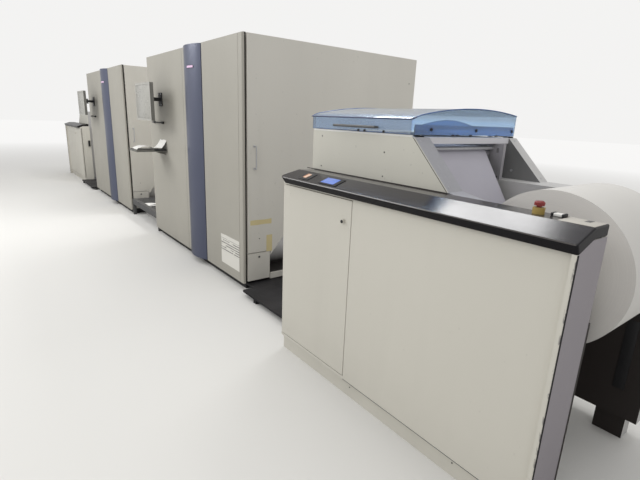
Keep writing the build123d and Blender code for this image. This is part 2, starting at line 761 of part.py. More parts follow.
def paper_web(guides):
    """The sheet from the roll's tower side, over the guide rollers and down inside the unit."""
    near_r = GUIDE_R + WEB_GAP
    far_r = near_r + WEB_T
    roll_near = ROLL_R + WEB_GAP
    roll_far = roll_near + WEB_T
    first_u, first_z = guides[0]
    du = first_u - ROLL_U
    dz = first_z - ROLL_Z
    tilt = math.acos((roll_near + far_r) / math.hypot(du, dz))
    normal = math.atan2(dz, du) + tilt
    nu = math.cos(normal)
    nz = math.sin(normal)
    contact_deg = math.degrees(normal) - 180.0

    def edges(roll_offset, guide_offset):
        """One face of the sheet, from the roll to the loose end."""
        path = [
            Line(
                (ROLL_U + roll_offset * nu, 0, ROLL_Z + roll_offset * nz),
                (first_u - guide_offset * nu, 0, first_z - guide_offset * nz),
            )
        ]
        start_deg = contact_deg
        for number, (u, z) in enumerate(guides):
            last = number == len(guides) - 1
            end_deg = 180.0 if last else 90.0
            path.append(upright_arc(u, z, guide_offset, start_deg, end_deg))
            start_deg = end_deg
            if last:
                path.append(Line((u - guide_offset, 0, z), (u - guide_offset, 0, WEB_END_Z)))
            else:
                next_u, next_z = guides[number + 1]
                path.append(Line((u, 0, z + guide_offset), (next_u, 0, next_z + guide_offset)))
        return path

    outer = edges(roll_near, far_r)
    inner = edges(roll_far, near_r)
    start_cap = Line(outer[0] @ 0, inner[0] @ 0)
    end_cap = Line(outer[-1] @ 1, inner[-1] @ 1)
    sheet = make_face(outer + [end_cap] + inner + [start_cap])
    return Pos(0, WEB_FRONT_Y, 0) * extrude(sheet, amount=WEB_W, dir=(0, 1, 0))


def upright_arc(u, z, radius, start_deg, end_deg):
    """An arc in the XZ plane, given by its angles from +X towards +Z."""
    ends = []
    for deg in (start_deg, (start_deg + end_deg) / 2, end_deg):
        angle = math.radians(deg)
        ends.append((u + radius * math.cos(angle), 0, z + radius * math.sin(angle)))
    return ThreePointArc(*ends)


# Cover over the infeed
def vault_line(inset):
    """The vault's section as edges in the YZ plane at X = 0, moved inwards by an inset."""
    near_y = COVER_NEAR_Y + inset
    far_y = FAR_OUT_Y - inset
    near_top = (0, near_y, COVER_NEAR_TOP - inset)
    shoulder_y = COVER_NEAR_Y + COVER_SHOULDER_W
    shoulder_z = COVER_NEAR_TOP + COVER_SHOULDER_RISE - inset
    shoulder = (0, shoulder_y, shoulder_z)
    bend_y = (near_y + shoulder_y) / 2 - COVER_SHOULDER_SAG
    bend_z = (COVER_NEAR_TOP - inset + shoulder_z) / 2 + COVER_SHOULDER_SAG
    crown = (0, COVER_CROWN_Y, COVER_CROWN_Z - inset)
    far_top = (0, far_y, COVER_FAR_TOP - inset)
    seat_z = HOUSING_Z + COVER_SEAT
    return [
        Line((0, near_y, seat_z), near_top),
        ThreePointArc(near_top, (0, bend_y, bend_z), shoulder),
        ThreePointArc(shoulder, crown, far_top),
        Line(far_top, (0, far_y, seat_z)),
    ]


def vault(inset, u0, u1):
    """A solid with the vault's section, open line closed along the seat."""
    edges = vault_line(inset)
    section = make_face(edges + [Line(edges[-1] @ 1, edges[0] @ 0)])
    return Pos(u0, 0, 0) * extrude(section, amount=u1 - u0, dir=(1, 0, 0))


def rounded_vault(inset, u0, u1):
    """The same solid with its two upright corners at the outer end rounded."""
    solid = vault(inset, u0, u1)
    corners = solid.edges().filter_by(Axis.Z).group_by(Axis.X)[-1]
    return fillet(corners, COVER_CORNER_R - inset)


def infeed_cover():
    """Clear vaulted cover, open below, with a lip at the tower end and a band inside its outer end."""
    wall = COVER_T
    seat = HOUSING_Z + COVER_SEAT
    cover = rounded_vault(0, COVER_START, COVER_END)
    cover -= rounded_vault(wall, COVER_START + wall, COVER_END - wall)
    lip = vault(0, COVER_START - COVER_LIP, COVER_START)
    lip -= vault(wall, COVER_START - COVER_LIP, COVER_START)
    near_y = COVER_NEAR_Y
    lip &= box(
        COVER_START - COVER_LIP,
        COVER_START,
        near_y,
        FAR_OUT_Y,
        COVER_NEAR_TOP,
        COVER_CROWN_Z,
    )
    cover += lip
    band_u1 = COVER_END - wall
    cover += box(
        band_u1 - COVER_BAND_T,
        band_u1,
        near_y + COVER_CORNER_R,
        FAR_OUT_Y - COVER_CORNER_R,
        seat,
        seat + COVER_BAND_H,
    )
    return cover


def cover_fittings():
    """Grip bar on the cover's near face and the two hinge sleeves on its far face."""
    grip_y = COVER_NEAR_Y - COVER_GRIP_REACH
    grip_end = COVER_GRIP_START + COVER_GRIP_L
    grip = rod("x", (COVER_GRIP_START, grip_y, COVER_GRIP_Z), COVER_GRIP_R, COVER_GRIP_L)
    half_leg = COVER_GRIP_LEG / 2
    z0 = COVER_GRIP_Z - half_leg
    for u in (COVER_GRIP_START + COVER_GRIP_LEG, grip_end - COVER_GRIP_LEG):
        grip += box(u - half_leg, u + half_leg, grip_y, COVER_NEAR_Y, z0, z0 + COVER_GRIP_LEG)
    sleeve_r = HINGE_ROD_R + HINGE_FIT + HINGE_SLEEVE_T
    fittings = [grip]
    for middle in HINGE_MIDDLES:
        u0 = middle - HINGE_SLEEVE_L / 2
        sleeve = rod("x", (u0, HINGE_Y, HINGE_Z), sleeve_r, HINGE_SLEEVE_L)
        sleeve += box(u0, u0 + HINGE_SLEEVE_L, FAR_OUT_Y, HINGE_Y, HINGE_Z, HINGE_Z + HINGE_ARM_T)
        sleeve -= rod("x", (u0, HINGE_Y, HINGE_Z), HINGE_ROD_R + HINGE_FIT, HINGE_SLEEVE_L)
        fittings.append(sleeve)
    return fittings


def housing_lid():
    """Plain lid on the rewinder's housing."""
    z0 = HOUSING_Z
    u0 = FRAME_START
    y0 = CONSOLE_BACK_Y - SKIN_T
    return box(u0, SLANT_TOP_U, y0, FAR_OUT_Y, z0, z0 + LID_T)


# Emergency stop on the unwinder's black top
def stop_place():
    return CONSOLE_L - STOP_FROM_END, TOP_BACK_Y - STOP_BACK


def stop_base():
    u, y = stop_place()
    base = rod("z", (u, y, TOP_Z), STOP_BASE_R, STOP_BASE_H)
    depth = STOP_STEM_IN + STOP_TRAVEL + STOP_END_GAP
    stem_z = TOP_Z + STOP_BASE_H - depth
    half = STOP_STEM_W / 2 + STOP_STEM_FIT
    return base - box(u - half, u + half, y - half, y + half, stem_z, stem_z + depth)


def stop_button():
    """Red head on a square stem, which keeps it from turning."""
    u, y = stop_place()
    head_z = TOP_Z + STOP_BASE_H + STOP_TRAVEL + STOP_END_GAP
    button = rod("z", (u, y, head_z), STOP_HEAD_R, STOP_HEAD_H)
    button = chamfer(button.edges().filter_by(GeomType.CIRCLE).sort_by(Axis.Z)[-1], STOP_HEAD_H / 3)
    stem_z = TOP_Z + STOP_BASE_H - STOP_STEM_IN
    half = STOP_STEM_W / 2
    return button + box(u - half, u + half, y - half, y + half, stem_z, head_z)


# Between the machines
def step_plate(tower_x, unit_x):
    """Low plate on feet from one tower's side to the next unit, tucked against the tower's plinth."""
    out = 1 if unit_x > tower_x else -1
    span = abs(unit_x - tower_x)
    y1 = STEP_D - STEP_FRONT
    under = STEP_TOP - STEP_T
    plate = [(tower_x + out * STEP_START, -STEP_FRONT), (unit_x, -STEP_FRONT), (unit_x, y1)]
    plate += [(tower_x - out * PLINTH_INSET, y) for y in (y1, PLINTH_INSET)]
    plate += [(tower_x + out * STEP_START, PLINTH_INSET)]
    outline = make_face(Polyline([(x, y, under) for x, y in plate], close=True))
    step = extrude(outline, amount=STEP_T, dir=(0, 0, 1))
    half = STEP_FOOT_W / 2
    for distance in (STEP_FIRST_FOOT, span - STEP_FOOT_IN):
        x = tower_x + out * distance
        for y in (STEP_FOOT_BACK - STEP_FRONT, y1 - STEP_FOOT_BACK):
            step += box(x - half, x + half, y - half, y + half, 0, under)
    return step


def bench():
    """Low slotted deck on a rail frame with four legs, between the towers."""
    x0 = -TOWER_W - TOWER_GAP
    x1 = -TOWER_W
    y0 = BENCH_FRONT
    y1 = y0 + BENCH_D
    deck_z = BENCH_TOP - BENCH_DECK_T
    rail_z = deck_z - BENCH_RAIL_H
    frame = box(x0, x1, y0, y1, rail_z, deck_z)
    inner = BENCH_RAIL_T
    frame -= box(x0 + inner, x1 - inner, y0 + inner, y1 - inner, rail_z, deck_z)
    for x in (x0, x1 - BENCH_LEG):
        for y in (y0, y1 - BENCH_LEG):
            frame += box(x, x + BENCH_LEG, y, y + BENCH_LEG, 0, deck_z)
    deck = box(x0, x1, y0, y1, deck_z, BENCH_TOP)
    pitch = (x1 - x0) / (BENCH_SLOTS + 1)
    for number in range(1, BENCH_SLOTS + 1):
        middle = x0 + number * pitch
        half = BENCH_SLOT_W / 2
        deck -= box(middle - half, middle + half, y0 + 2 * inner, y1 - 2 * inner, deck_z, BENCH_TOP)
    return frame + deck


def black_box():
    x1 = -TOWER_W - BOX_SIDE
    y0 = BENCH_FRONT + BOX_BACK
    return box(x1 - BOX_W, x1, y0, y0 + BOX_D, BENCH_TOP, BENCH_TOP + BOX_H)


# Placing and writing
def on_unwinder(shape):
    return Pos(UNWINDER_X, 0, 0) * shape


def on_rewinder(shape):
    return Pos(REWINDER_X, REWINDER_Y, 0) * mirror(shape, about=Plane.YZ)


def as_list(shape):
    return shape if isinstance(shape, list) else [shape]


def tower_nodes():
    makers = {
        "plinth": tower_plinth,
        "housing": tower_housing,
        "front_panels": tower_front_panels,
        "blue_panel": tower_blue_panel,
        "side_panels": tower_side_panels,
        "side_handles": tower_side_handles,
        "screen_bracket": tower_screen_bracket,
        "screen": tower_screen,
    }
    nodes = {}
    for name, maker in makers.items():
        pieces = as_list(maker())
        for number in (1, 2):
            place = Pos(-(number - 1) * TOWER_PITCH, 0, 0)
            nodes[f"tower_{number}_{name}"] = [place * piece for piece in pieces]
    return nodes


def unit_pieces(turning):
    """The pieces of one unit: only the unwinder has a turning roll, a turning roller and hinges."""
    guides = [(INFEED_U, INFEED_Z), (TURN_U, INFEED_Z)]
    return {
        "console": console_body(),
        "console_door": console_door(),
        "console_top": console_top(),
        "end_wall": end_wall(),
        "near_frame": near_frame(turning),
        "far_frame": far_frame(turning),
        "roller_plate": roller_plate(turning),
        "cross_beams": cross_beams(),
        "guard_rod": guard_rod(),
        "infeed_side_panel": infeed_side_panel(),
        "infeed_roller": guide_roller(INFEED_U, INFEED_Z, turning),
        "turn_roller": guide_roller(TURN_U, INFEED_Z, False),
        "paper_roll": paper_roll(),
        "roll_chucks": roll_chucks(turning),
        "paper_web": paper_web(guides),
    }


def unit_nodes():
    unwinder = unit_pieces(True)
    unwinder["infeed_cover"] = infeed_cover()
    unwinder["cover_fittings"] = cover_fittings()
    unwinder["stop_base"] = stop_base()
    unwinder["stop_button"] = stop_button()
    rewinder = unit_pieces(False)
    rewinder["housing_lid"] = housing_lid()
    nodes = {}
    for name, shape in unwinder.items():
        nodes["unwinder_" + name] = [on_unwinder(piece) for piece in as_list(shape)]
    for name, shape in rewinder.items():
        name = name.replace("infeed", "outfeed")
        nodes["rewinder_" + name] = [on_rewinder(piece) for piece in as_list(shape)]
    nodes["end_latches"] = [on_unwinder(end_latch()), on_rewinder(end_latch())]
    return nodes


def all_nodes():
    nodes = tower_nodes()
    nodes.update(unit_nodes())
    nodes["paper_shelf"] = [paper_shelf()]
    nodes["step_plates"] = [
        step_plate(0, UNWINDER_X + FRAME_START + END_WALL_T),
        step_plate(-TOWER_PITCH - TOWER_W, REWINDER_X),
    ]
    nodes["bench"] = [bench()]
    nodes["black_box"] = [black_box()]
    return nodes


def write_nodes():
    os.makedirs("parts", exist_ok=True)
    for name, pieces in all_nodes().items():
        placed = [TO_PART_FRAME * piece for piece in pieces]
        shape = placed[0] if len(placed) == 1 else Compound(children=placed)
        export_step(shape, f"parts/{name}.step")


if __name__ == "__main__":
    write_nodes()
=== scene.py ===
import math

import bmesh
import bpy
from bpy.props import FloatProperty, FloatVectorProperty, IntProperty, PointerProperty
from bpy.types import NodeSocket, Operator, Panel, PropertyGroup
from mathutils import Matrix, Vector


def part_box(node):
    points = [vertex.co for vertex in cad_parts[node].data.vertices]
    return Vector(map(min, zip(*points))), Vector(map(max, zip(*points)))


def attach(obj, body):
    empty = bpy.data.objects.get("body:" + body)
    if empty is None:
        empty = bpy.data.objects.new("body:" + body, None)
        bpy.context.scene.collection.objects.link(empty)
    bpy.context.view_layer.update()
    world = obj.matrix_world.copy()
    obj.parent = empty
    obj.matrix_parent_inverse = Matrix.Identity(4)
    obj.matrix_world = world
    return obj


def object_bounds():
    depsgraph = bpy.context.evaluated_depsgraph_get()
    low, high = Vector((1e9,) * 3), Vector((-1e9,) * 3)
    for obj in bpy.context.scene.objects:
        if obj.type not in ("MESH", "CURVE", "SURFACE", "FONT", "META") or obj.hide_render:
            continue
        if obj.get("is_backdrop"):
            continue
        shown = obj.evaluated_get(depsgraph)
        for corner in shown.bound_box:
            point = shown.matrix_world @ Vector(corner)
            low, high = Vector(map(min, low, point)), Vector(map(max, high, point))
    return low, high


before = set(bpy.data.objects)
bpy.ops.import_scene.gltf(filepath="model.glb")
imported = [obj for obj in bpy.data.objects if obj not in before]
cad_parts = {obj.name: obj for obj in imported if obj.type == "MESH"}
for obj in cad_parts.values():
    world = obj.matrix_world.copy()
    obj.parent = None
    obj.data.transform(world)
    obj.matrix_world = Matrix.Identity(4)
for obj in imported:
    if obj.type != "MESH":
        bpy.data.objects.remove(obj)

bl_info = {
    "name": "Continuous feed press looks",
    "version": (1, 0, 0),
    "blender": (4, 5, 0),
    "location": "3D View > Sidebar > Press",
    "description": "Finishes, fittings and a studio for a continuous feed inkjet press",
    "category": "Object",
}

CAD_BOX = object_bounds()

# Places taken from the frame: metres, X along the line, Y into the machines, Z up
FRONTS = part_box("tower_1_front_panels")
LINE_ZERO = Vector((FRONTS[1].x, FRONTS[0].y, 0))
TOWER_PITCH = FRONTS[1].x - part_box("tower_2_front_panels")[1].x
TOWER_LEFT = FRONTS[0].x - LINE_ZERO.x
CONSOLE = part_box("unwinder_console")
UNIT_START = CONSOLE[0].x
REWINDER_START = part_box("rewinder_console")[1].x
REWINDER_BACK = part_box("rewinder_console")[0].y - CONSOLE[0].y

# Sections repeated from the CAD source, in metres
BLUE_X = (-1.248, -0.830)
BLUE_BULGE = 0.055
NOSE_Y = -0.303
NOSE_TOP_Z = 1.202
RIDGE_Y = -0.185
RIDGE_Z = 1.245
SHELF_RIM = 0.017
HOLDER_U = 1.604
COVER_U = (0.041, 0.055, 0.865)
COVER_SEAT_Z = 1.497
COVER_NEAR_Y = -0.084
COVER_NEAR_TOP = (-0.084, 1.570)
COVER_BEND = (-0.0555, 1.5825)
COVER_SHOULDER = (-0.024, 1.592)
COVER_CROWN = (0.474, 1.638)
COVER_FAR_TOP = (0.860, 1.611)
COVER_CORNER_R = 0.025
COVER_BAND_TOP = 1.547
END_PANEL_U = (1.760, 1.780)
KICK_Y = -0.236
FAR_WALL_Y = 0.775
FAR_LEDGE_Z = 0.860
TAIL_U = 1.200
TAIL_Z = 0.900
SIDE_GAP_Y = 0.045
# DUCT_Z: heights where the web openings' painted shade turns into painted light; SILL_Z: height of the sills
# under painted shade.
DUCT_Z = (0.140, 0.320)
SILL_Z = 0.125
ROLL_U = 1.515
ROLL_Z = 0.975
ROLL_R = 0.336

# Fittings that the scene adds, in metres
LAMP_RIM = (-1.029, -0.921, 1.9785, 2.0035, 0.003)
LAMP_LENS = (-1.026, -0.924, 1.9815, 2.0005, 0.006)
LAMP_SKIN = 0.003
NOTICE_X = (-0.457, -0.36, -0.27, -0.18, -0.080)
NOTICE_Z = (0.160, 0.235, 0.305, 0.380, 0.450)
NOTICE_CURL = 0.004
TAPES = (((0.070, 0.611), (0.289, 0.656)), ((0.236, 0.346), (0.297, 0.504)))
TAPE_X = (0.0006, 0.0009)
TAPE_RAGGED = 0.0015
FILM = 0.0004
SIDE_SCREWS = ((0.162, 0.480), (1.980, 0.62), (1.980, 1.95))
SIDE_SCREW_R = 0.005
LOCK_PLACE = (0.1595, 0.307)
LOCK_DISC_X = (0.0035, 0.0056)
LOCK_KEY_X = 0.0066
LOCK_KEY_HALF = Vector((0.001, 0.0012, 0.006))
HANDLE_Y = 0.112
HANDLE_FEET_Z = (1.115, 1.305)
FOOT_R = 0.0105
FOOT_LENGTH = 0.004
GLASS_RIM = 0.0235
GLASS_DEPTH = (0.0012, 0.0035)
BRACKET_XZ = (-2.040, 1.700)
BRACKET_HALF = (0.041, 0.060)
RAIL_X = (-2.330, -1.935)
RAIL_CLIPS_X = (-2.28, -1.985)
RAIL_Y = -0.022
RAIL_Z = 1.438
RAIL_R = 0.007
DOOR_FRONT_Y = CONSOLE[0].y + 0.024
KNOB_U = 0.597
KNOB_Z = 1.030
DOOR_SCREWS = ((0.077, 1.098), (0.077, 0.17))
PANEL_SCREWS = ((1.417, 0.068), (0.705, 0.062))
DISPLAY_U = 0.461
LAMP_BUTTON_U = 0.240
SLOPE_MIDDLE_Y = -0.245
COVER_SCREWS_Y = (0.060, 0.445, 0.810)
COVER_SCREWS_Z = 1.524
COVER_KNOBS_U = (0.483, 0.532, 0.677)
COVER_KNOBS_Z = 1.504
COVER_CLIPS_Y = (0.244, 0.284, 0.402, 0.655)
COVER_STOPS_Y = (-0.030, 0.000, 0.830)
COVER_CORNER_TOP = 1.562
SEAL_Z = (1.4862, 1.4955)
BAND_HUMP = 0.026
CORE_R = (0.0385, 0.046)
CORE_ENDS = ((0.0935, -1), (0.6015, 1))
CORE_PROUD = 0.0012
CORE_SIDES = 36
ROLLER_Z = 1.392
ROLLER_CAP_R = 0.026
ROLLER_CAPS_Y = ((0.0445, 0.0515), (0.6435, 0.6505))
SLANT_ANGLE = math.radians(45.6)
CREASE_ANGLE = math.radians(35)
BLACK = ("black_plastic", "black_metal")
PAPER = ("paper", "paper")
PLAIN_LIGHT = (1.0, 0.995, 0.985, 1.0)


def linear(red, green, blue):
    """A colour as it looks on screen, 0 to 255, in the renderer's own numbers."""
    shares = [value / 255 for value in (red, green, blue)]
    return [((s + 0.055) / 1.055) ** 2.4 if s > 0.04045 else s / 12.92 for s in shares]


def tone(name, description, *shade):
    return FloatVectorProperty(
        name=name, description=description, subtype="COLOR", min=0.0, max=1.0, default=linear(*shade)
    )


def amount(name, description, value, **kind):
    return FloatProperty(name=name, description=description, default=value, **kind)


def length(name, description, value):
    return amount(name, description, value, min=0.0, unit="LENGTH")


class PressColours(PropertyGroup):
    """Colours of the press's finishes"""

    # Painted shade: the tower fronts take the side panels' paint, set darker for the shade on the front
    # faces.
    tower_front: tone("Tower fronts", "Warm grey paint of the tower fronts", 162, 159, 150)
    tower_side: tone("Tower sides", "Grey paint of the towers' side panels", 198, 195, 187)
    roof: tone("Tower roofs", "Paint of the tower housings", 178, 176, 168)
    joint: tone("Joints", "Shade inside the joints and the web openings", 50, 45, 43)
    # Painted light: a near white standing in for light on the web openings' upper walls.
    opening_light: tone("Web openings", "Pale inner wall of the towers' web openings", 240, 239, 238)
    plinth: tone("Plinths", "Dark plinths under the towers", 40, 39, 40)
    blue: tone("Column panel", "Slate blue paint of the bowed column panel", 88, 93, 113)
    console: tone("Console", "Warm white paint of the consoles", 201, 198, 188)
    # Painted shade: a darker violet grey for the end panel's faces that look along the line.
    console_end_shade: tone("Console end", "Violet grey of the console's end panel", 150, 145, 150)
    cream: tone("Infeed side", "Cream paint of the infeed side panel", 194, 192, 182)
    frame_light: tone("Frame edges", "Light grey paint of the frames' edges and ledges", 172, 171, 170)
    frame_dark: tone("Frame faces", "Dark grey inner faces of the frames", 84, 84, 84)
    plate_grey: tone("Roller plate", "Grey of the roller plate and the cross tie", 165, 163, 167)
    machined: tone("Machined steel", "Ground steel of the slanted frame end", 166, 166, 171)
    bright: tone("Bright steel", "Rollers, handles and small fittings", 196, 197, 200)
    black_slope: tone("Control top", "Satin black of the control top's slope", 40, 38, 42)
    black_nose: tone("Top's nose", "Gloss black of the control top's nose", 17, 15, 19)
    # The ridge's brown grey also makes the painted highlight on the top's bevels and the base of the ridge's
    # painted reflection.
    ridge: tone("Top's ridge", "Brown grey of the control top's flat ridge", 80, 77, 75)
    strip: tone("Ridge strip", "Beige grey strip at the ridge's open end", 184, 180, 172)
    cover: tone("Clear cover", "Pale blue acrylic of the infeed cover", 204, 224, 248)
    cover_edge: tone("Cover edge", "Indigo of the acrylic's near edge", 38, 46, 86)
    cover_rim: tone("Cover rim", "Blue of the acrylic's end edges", 60, 96, 152)
    cover_band: tone("Cover band", "Deeper blue strip along the cover's foot", 140, 190, 250)
    paper: tone("Paper", "Uncoated white paper", 222, 221, 217)
    roll: tone("Roll", "Outside of the wound paper roll", 202, 200, 196)
    notice: tone("Notice", "Film of the bare notice sheet", 212, 210, 203)
    ledge: tone("Beams", "Light grey of the cross beams", 204, 203, 208)
    roll_side: tone("Roll sides", "Paper edges of the wound roll", 206, 203, 199)
    web: tone("Web", "Paper web in the infeed's shade", 178, 176, 185)
    black_plastic: tone("Black plastic", "Moulded black fittings", 34, 34, 36)
    rubber: tone("Step plate", "Black coating of the step plates", 30, 29, 31)
    screen_face: tone("Screen face", "Pale front of the swivel screens", 170, 169, 163)
    screen_shell: tone("Screen shell", "Grey shell of the swivel screens", 112, 111, 106)
    display: tone("Display", "Lit periwinkle display", 112, 142, 226)
    lamp: tone("Status lamp", "Pinkish white lit lamp", 250, 214, 246)
    button: tone("Lamp button", "Peach lit face of the lamp button", 240, 204, 180)
    amber: tone("Button edge", "Orange brown edge of the lamp button", 190, 112, 62)
    tape: tone("Tape", "Old masking tape", 200, 186, 142)
    red: tone("Stop button", "Red of the emergency stop", 128, 34, 32)
    yellow: tone("Stop collar", "Yellow of the emergency stop's collar", 168, 144, 78)


class PressSizes(PropertyGroup):
    """Sizes of the fittings that the scene adds"""

    screw_r: length("Screw radius", "Radius of the socket screws' heads", 0.0065)
    screw_h: length("Screw height", "Height of the socket screws' heads", 0.003)
    edge_r: length("Near edge", "Radius of the dark bead on the cover's near edge", 0.0035)
    rim_r: length("End edges", "Radius of the beads on the cover's end edges", 0.0026)
    grating_pitch: length("Grating pitch", "Spacing of the bench's grating bars", 0.030)
    sheets: IntProperty(name="Sheets", description="Loose sheets in each pile", default=11, min=1, max=40)


class PressStudio(PropertyGroup):
    """Camera, lamps and floor"""

    lens: amount("Lens", "Focal length", 24.65, unit="CAMERA")
    yaw: amount("Yaw", "Turn from +Y towards -X", 0.9123, subtype="ANGLE")
    pitch: amount("Pitch", "Tilt below the horizon", 0.2699, subtype="ANGLE")
    roll: amount("Roll", "Turn about the view line", 0.0396, subtype="ANGLE")
    camera: FloatVectorProperty(
        name="Camera place",
        description="Camera from the first tower's front corner",
        default=(3.3879, -1.7589, 1.5556),
        subtype="XYZ",
        unit="LENGTH",
    )
    sky: amount("Sky", "Strength of the plain surrounding light", 0.80)
    horizon: amount("Horizon", "Strength of the background behind the press", 0.9)
    gloss: amount("Gloss", "Strength of the surroundings in reflections", 0.45)
    ceiling: amount("Ceiling lamp", "Power of the overhead lamp", 180.0, unit="POWER")
    side: amount("Side lamp", "Power of the lamp on the operator's side", 220.0, unit="POWER")
    sheen: amount("Sheen lamp", "Power of the lamp the control top mirrors", 205.0, unit="POWER")
    fade: amount("Fade", "Where the floor starts to blend out", 6.0, unit="LENGTH")
    floor: tone("Floor", "Plain pale floor", 214, 213, 210)


def at(x, y, z):
    """A place measured from the first tower's front corner on the unwinder side."""
    return LINE_ZERO + Vector((x, y, z))


def on_tower(number):
    """The same places on one of the towers."""
    shift = Vector((-(number - 1) * TOWER_PITCH, 0, 0))
    return lambda x, y, z: at(x, y, z) + shift


def on_unit(u, y, z):
    """A place on the unwinder, measured outwards from its tower side."""
    return Vector((UNIT_START + u, LINE_ZERO.y + y, z))


def on_rewinder(u, y, z):
    """The same place on the mirrored rewinder."""
    return Vector((REWINDER_START - u, LINE_ZERO.y + y + REWINDER_BACK, z))


def spread(start, end, steps):
    """Evenly spaced values from start to end."""
    return [start + (end - start) * i / steps for i in range(steps + 1)]


# Finishes
class NodeTree:
    """A node tree that is built up call by call."""

    def __init__(self, tree):
        self.tree = tree

    def feed(self, socket, value):
        if isinstance(value, NodeSocket):
            self.tree.links.new(value, socket)
        else:
            socket.default_value = value

    def add(self, kind, inputs=None, **settings):
        node = self.tree.nodes.new(kind)
        for key, value in settings.items():
            setattr(node, key, value)
        for key, value in (inputs or {}).items():
            self.feed(node.inputs[key], value)
        return node

    def make(self, kind, inputs=None, **settings):
        """The first output of a new node."""
        return self.add(kind, inputs, **settings).outputs[0]

    def maths(self, operation, a, b=0.0):
        return self.make("ShaderNodeMath", {0: a, 1: b}, operation=operation)


class Finish(NodeTree):
    """A material, on object coordinates."""

    def __init__(self, name):
        self.material = bpy.data.materials.new(name)
        self.material.use_nodes = True
        super().__init__(self.material.node_tree)
        self.shader = self.tree.nodes["Principled BSDF"]
        self.place = self.add("ShaderNodeTexCoord").outputs["Object"]

    def axis(self, letter):
        return self.add("ShaderNodeSeparateXYZ", {0: self.place}).outputs[letter]

    def facing(self, letter):
        """How far the surface faces along an axis, on pieces that never turn."""
        normal = self.add("ShaderNodeNewGeometry").outputs["Normal"]
        return self.add("ShaderNodeSeparateXYZ", {0: normal}).outputs[letter]

    def sideways(self):
        """How far the surface faces along the line, either way."""
        return self.maths("ABSOLUTE", self.facing("X"))

    def far_out(self):
        """Distance along the line from the press's middle, the same on both end units."""
        return self.maths("ABSOLUTE", self.axis("X"))

    def depth(self):
        """Distance into the machine from the fronts, the same on both end units."""
        zero = self.level(self.axis("X"), -0.001, 0.001, LINE_ZERO.y + REWINDER_BACK, LINE_ZERO.y)
        return self.maths("SUBTRACT", self.axis("Y"), zero)

    def level(self, value, low, high, to_low=0.0, to_high=1.0):
        inputs = {"Value": value, "From Min": low, "From Max": high, "To Min": to_low, "To Max": to_high}
        return self.make("ShaderNodeMapRange", inputs)

    def below(self, value, low, high):
        """1 below the low value, 0 above the high one."""
        return self.level(value, low, high, 1.0, 0.0)

    def cloud(self, scale, detail=2.0, stretch=(1, 1, 1)):
        place = self.make("ShaderNodeMapping", {"Vector": self.place, "Scale": stretch})
        return self.make("ShaderNodeTexNoise", {"Vector": place, "Scale": scale, "Detail": detail})

    def soft(self, scale, detail=2.0, stretch=(1, 1, 1), low=0.3, high=0.7, to_low=0.0, to_high=1.0):
        """Noise, drawn out to a range of its own."""
        return self.level(self.cloud(scale, detail, stretch), low, high, to_low, to_high)

    def cells(self, scale, **settings):
        inputs = {"Vector": self.place, "Scale": scale}
        return self.add("ShaderNodeTexVoronoi", inputs, **settings).outputs["Distance"]

    def times(self, a, b):
        return self.maths("MULTIPLY", a, b)

    def higher(self, a, b):
        return self.maths("MAXIMUM", a, b)

    def blend(self, share, a, b):
        return self.add("ShaderNodeMix", {0: share, 6: a, 7: b}, data_type="RGBA").outputs[2]

    def shades(self, share, colour, low, high=1.0):
        """One colour, from a low to a high share of its brightness."""
        return self.blend(share, shaded(colour, low), shaded(colour, high))

    def surface(self, colours, roughness, bump=None, **sockets):
        """The finished material. A bump is noise, strength and height, other sockets have _ for a space."""
        values = {"Base Color": colours, "Roughness": roughness}
        values.update((name.replace("_", " "), value) for name, value in sockets.items())
        if bump:
            noise, strength, height = bump
            inputs = {"Height": noise, "Strength": strength, "Distance": height}
            values["Normal"] = self.make("ShaderNodeBump", inputs)
        for name, value in values.items():
            self.feed(self.shader.inputs[name], value)
        return self.material


def shaded(colour, share=1.0):
    return (*[value * share for value in colour], 1.0)


def weathered(paint, colour, mottle=0.07, grime=0.25):
    """Paint colour with broad tone changes, wiping streaks, small marks and dust near the floor."""
    colours = paint.shades(paint.soft(0.8, 3, (1, 1, 0.35)), colour, 1 - mottle, 1 + mottle / 3)
    streak = paint.soft(7, 4, (1, 1, 0.1), 0.5, 0.8, to_high=mottle * 2.2)
    colours = paint.blend(streak, colours, shaded(colour, 0.78))
    mark = paint.soft(42, 1.5, low=0.735, high=0.775, to_high=grime)
    colours = paint.blend(mark, colours, shaded(colour, 0.42))
    low = paint.level(paint.axis("Z"), 0.02, 0.42, grime, 0.0)
    return paint.blend(paint.times(low, paint.soft(4, 5)), colours, shaded(colour, 0.5))


def coated(paint, colours, gloss):
    """Powder coat's gloss and fine grain under finished colours."""
    rough = paint.soft(2.2, 3, to_low=gloss - 0.06, to_high=gloss + 0.08)
    grain = (paint.cloud(380, 2), 0.08, 0.0006)
    return paint.surface(colours, rough, grain, Specular_IOR_Level=0.4)


def painted(name, colour, gloss=0.42, mottle=0.07, grime=0.25):
    """Powder coated sheet."""
    paint = Finish(name)
    return coated(paint, weathered(paint, colour, mottle, grime), gloss)


def console_paint(name, colour, end_shade_colour):
    """Console paint: a darker violet grey on the end panel's faces along the line as painted shade, and a
    chipped edge beside it.
    """
    paint = Finish(name)
    colours = weathered(paint, colour, 0.05, 0.12)
    out = paint.far_out()
    start, end = (UNIT_START + u for u in END_PANEL_U)
    near_end = paint.level(out, end - 0.010, end - 0.002)
    chips = paint.times(paint.soft(75, 3, (1, 1, 0.4), 0.54, 0.62), near_end)
    colours = paint.blend(chips, colours, shaded(end_shade_colour, 0.3))
    # Painted shade: faces looking along the line past the end panel's start take the darker violet grey.
    beyond = paint.level(out, start + 0.002, start + 0.003)
    painted_end_shade = paint.times(beyond, paint.level(paint.sideways(), 0.7, 0.8))
    colours = paint.blend(painted_end_shade, colours, weathered(paint, end_shade_colour, 0.08, 0.2))
    return coated(paint, colours, 0.4)


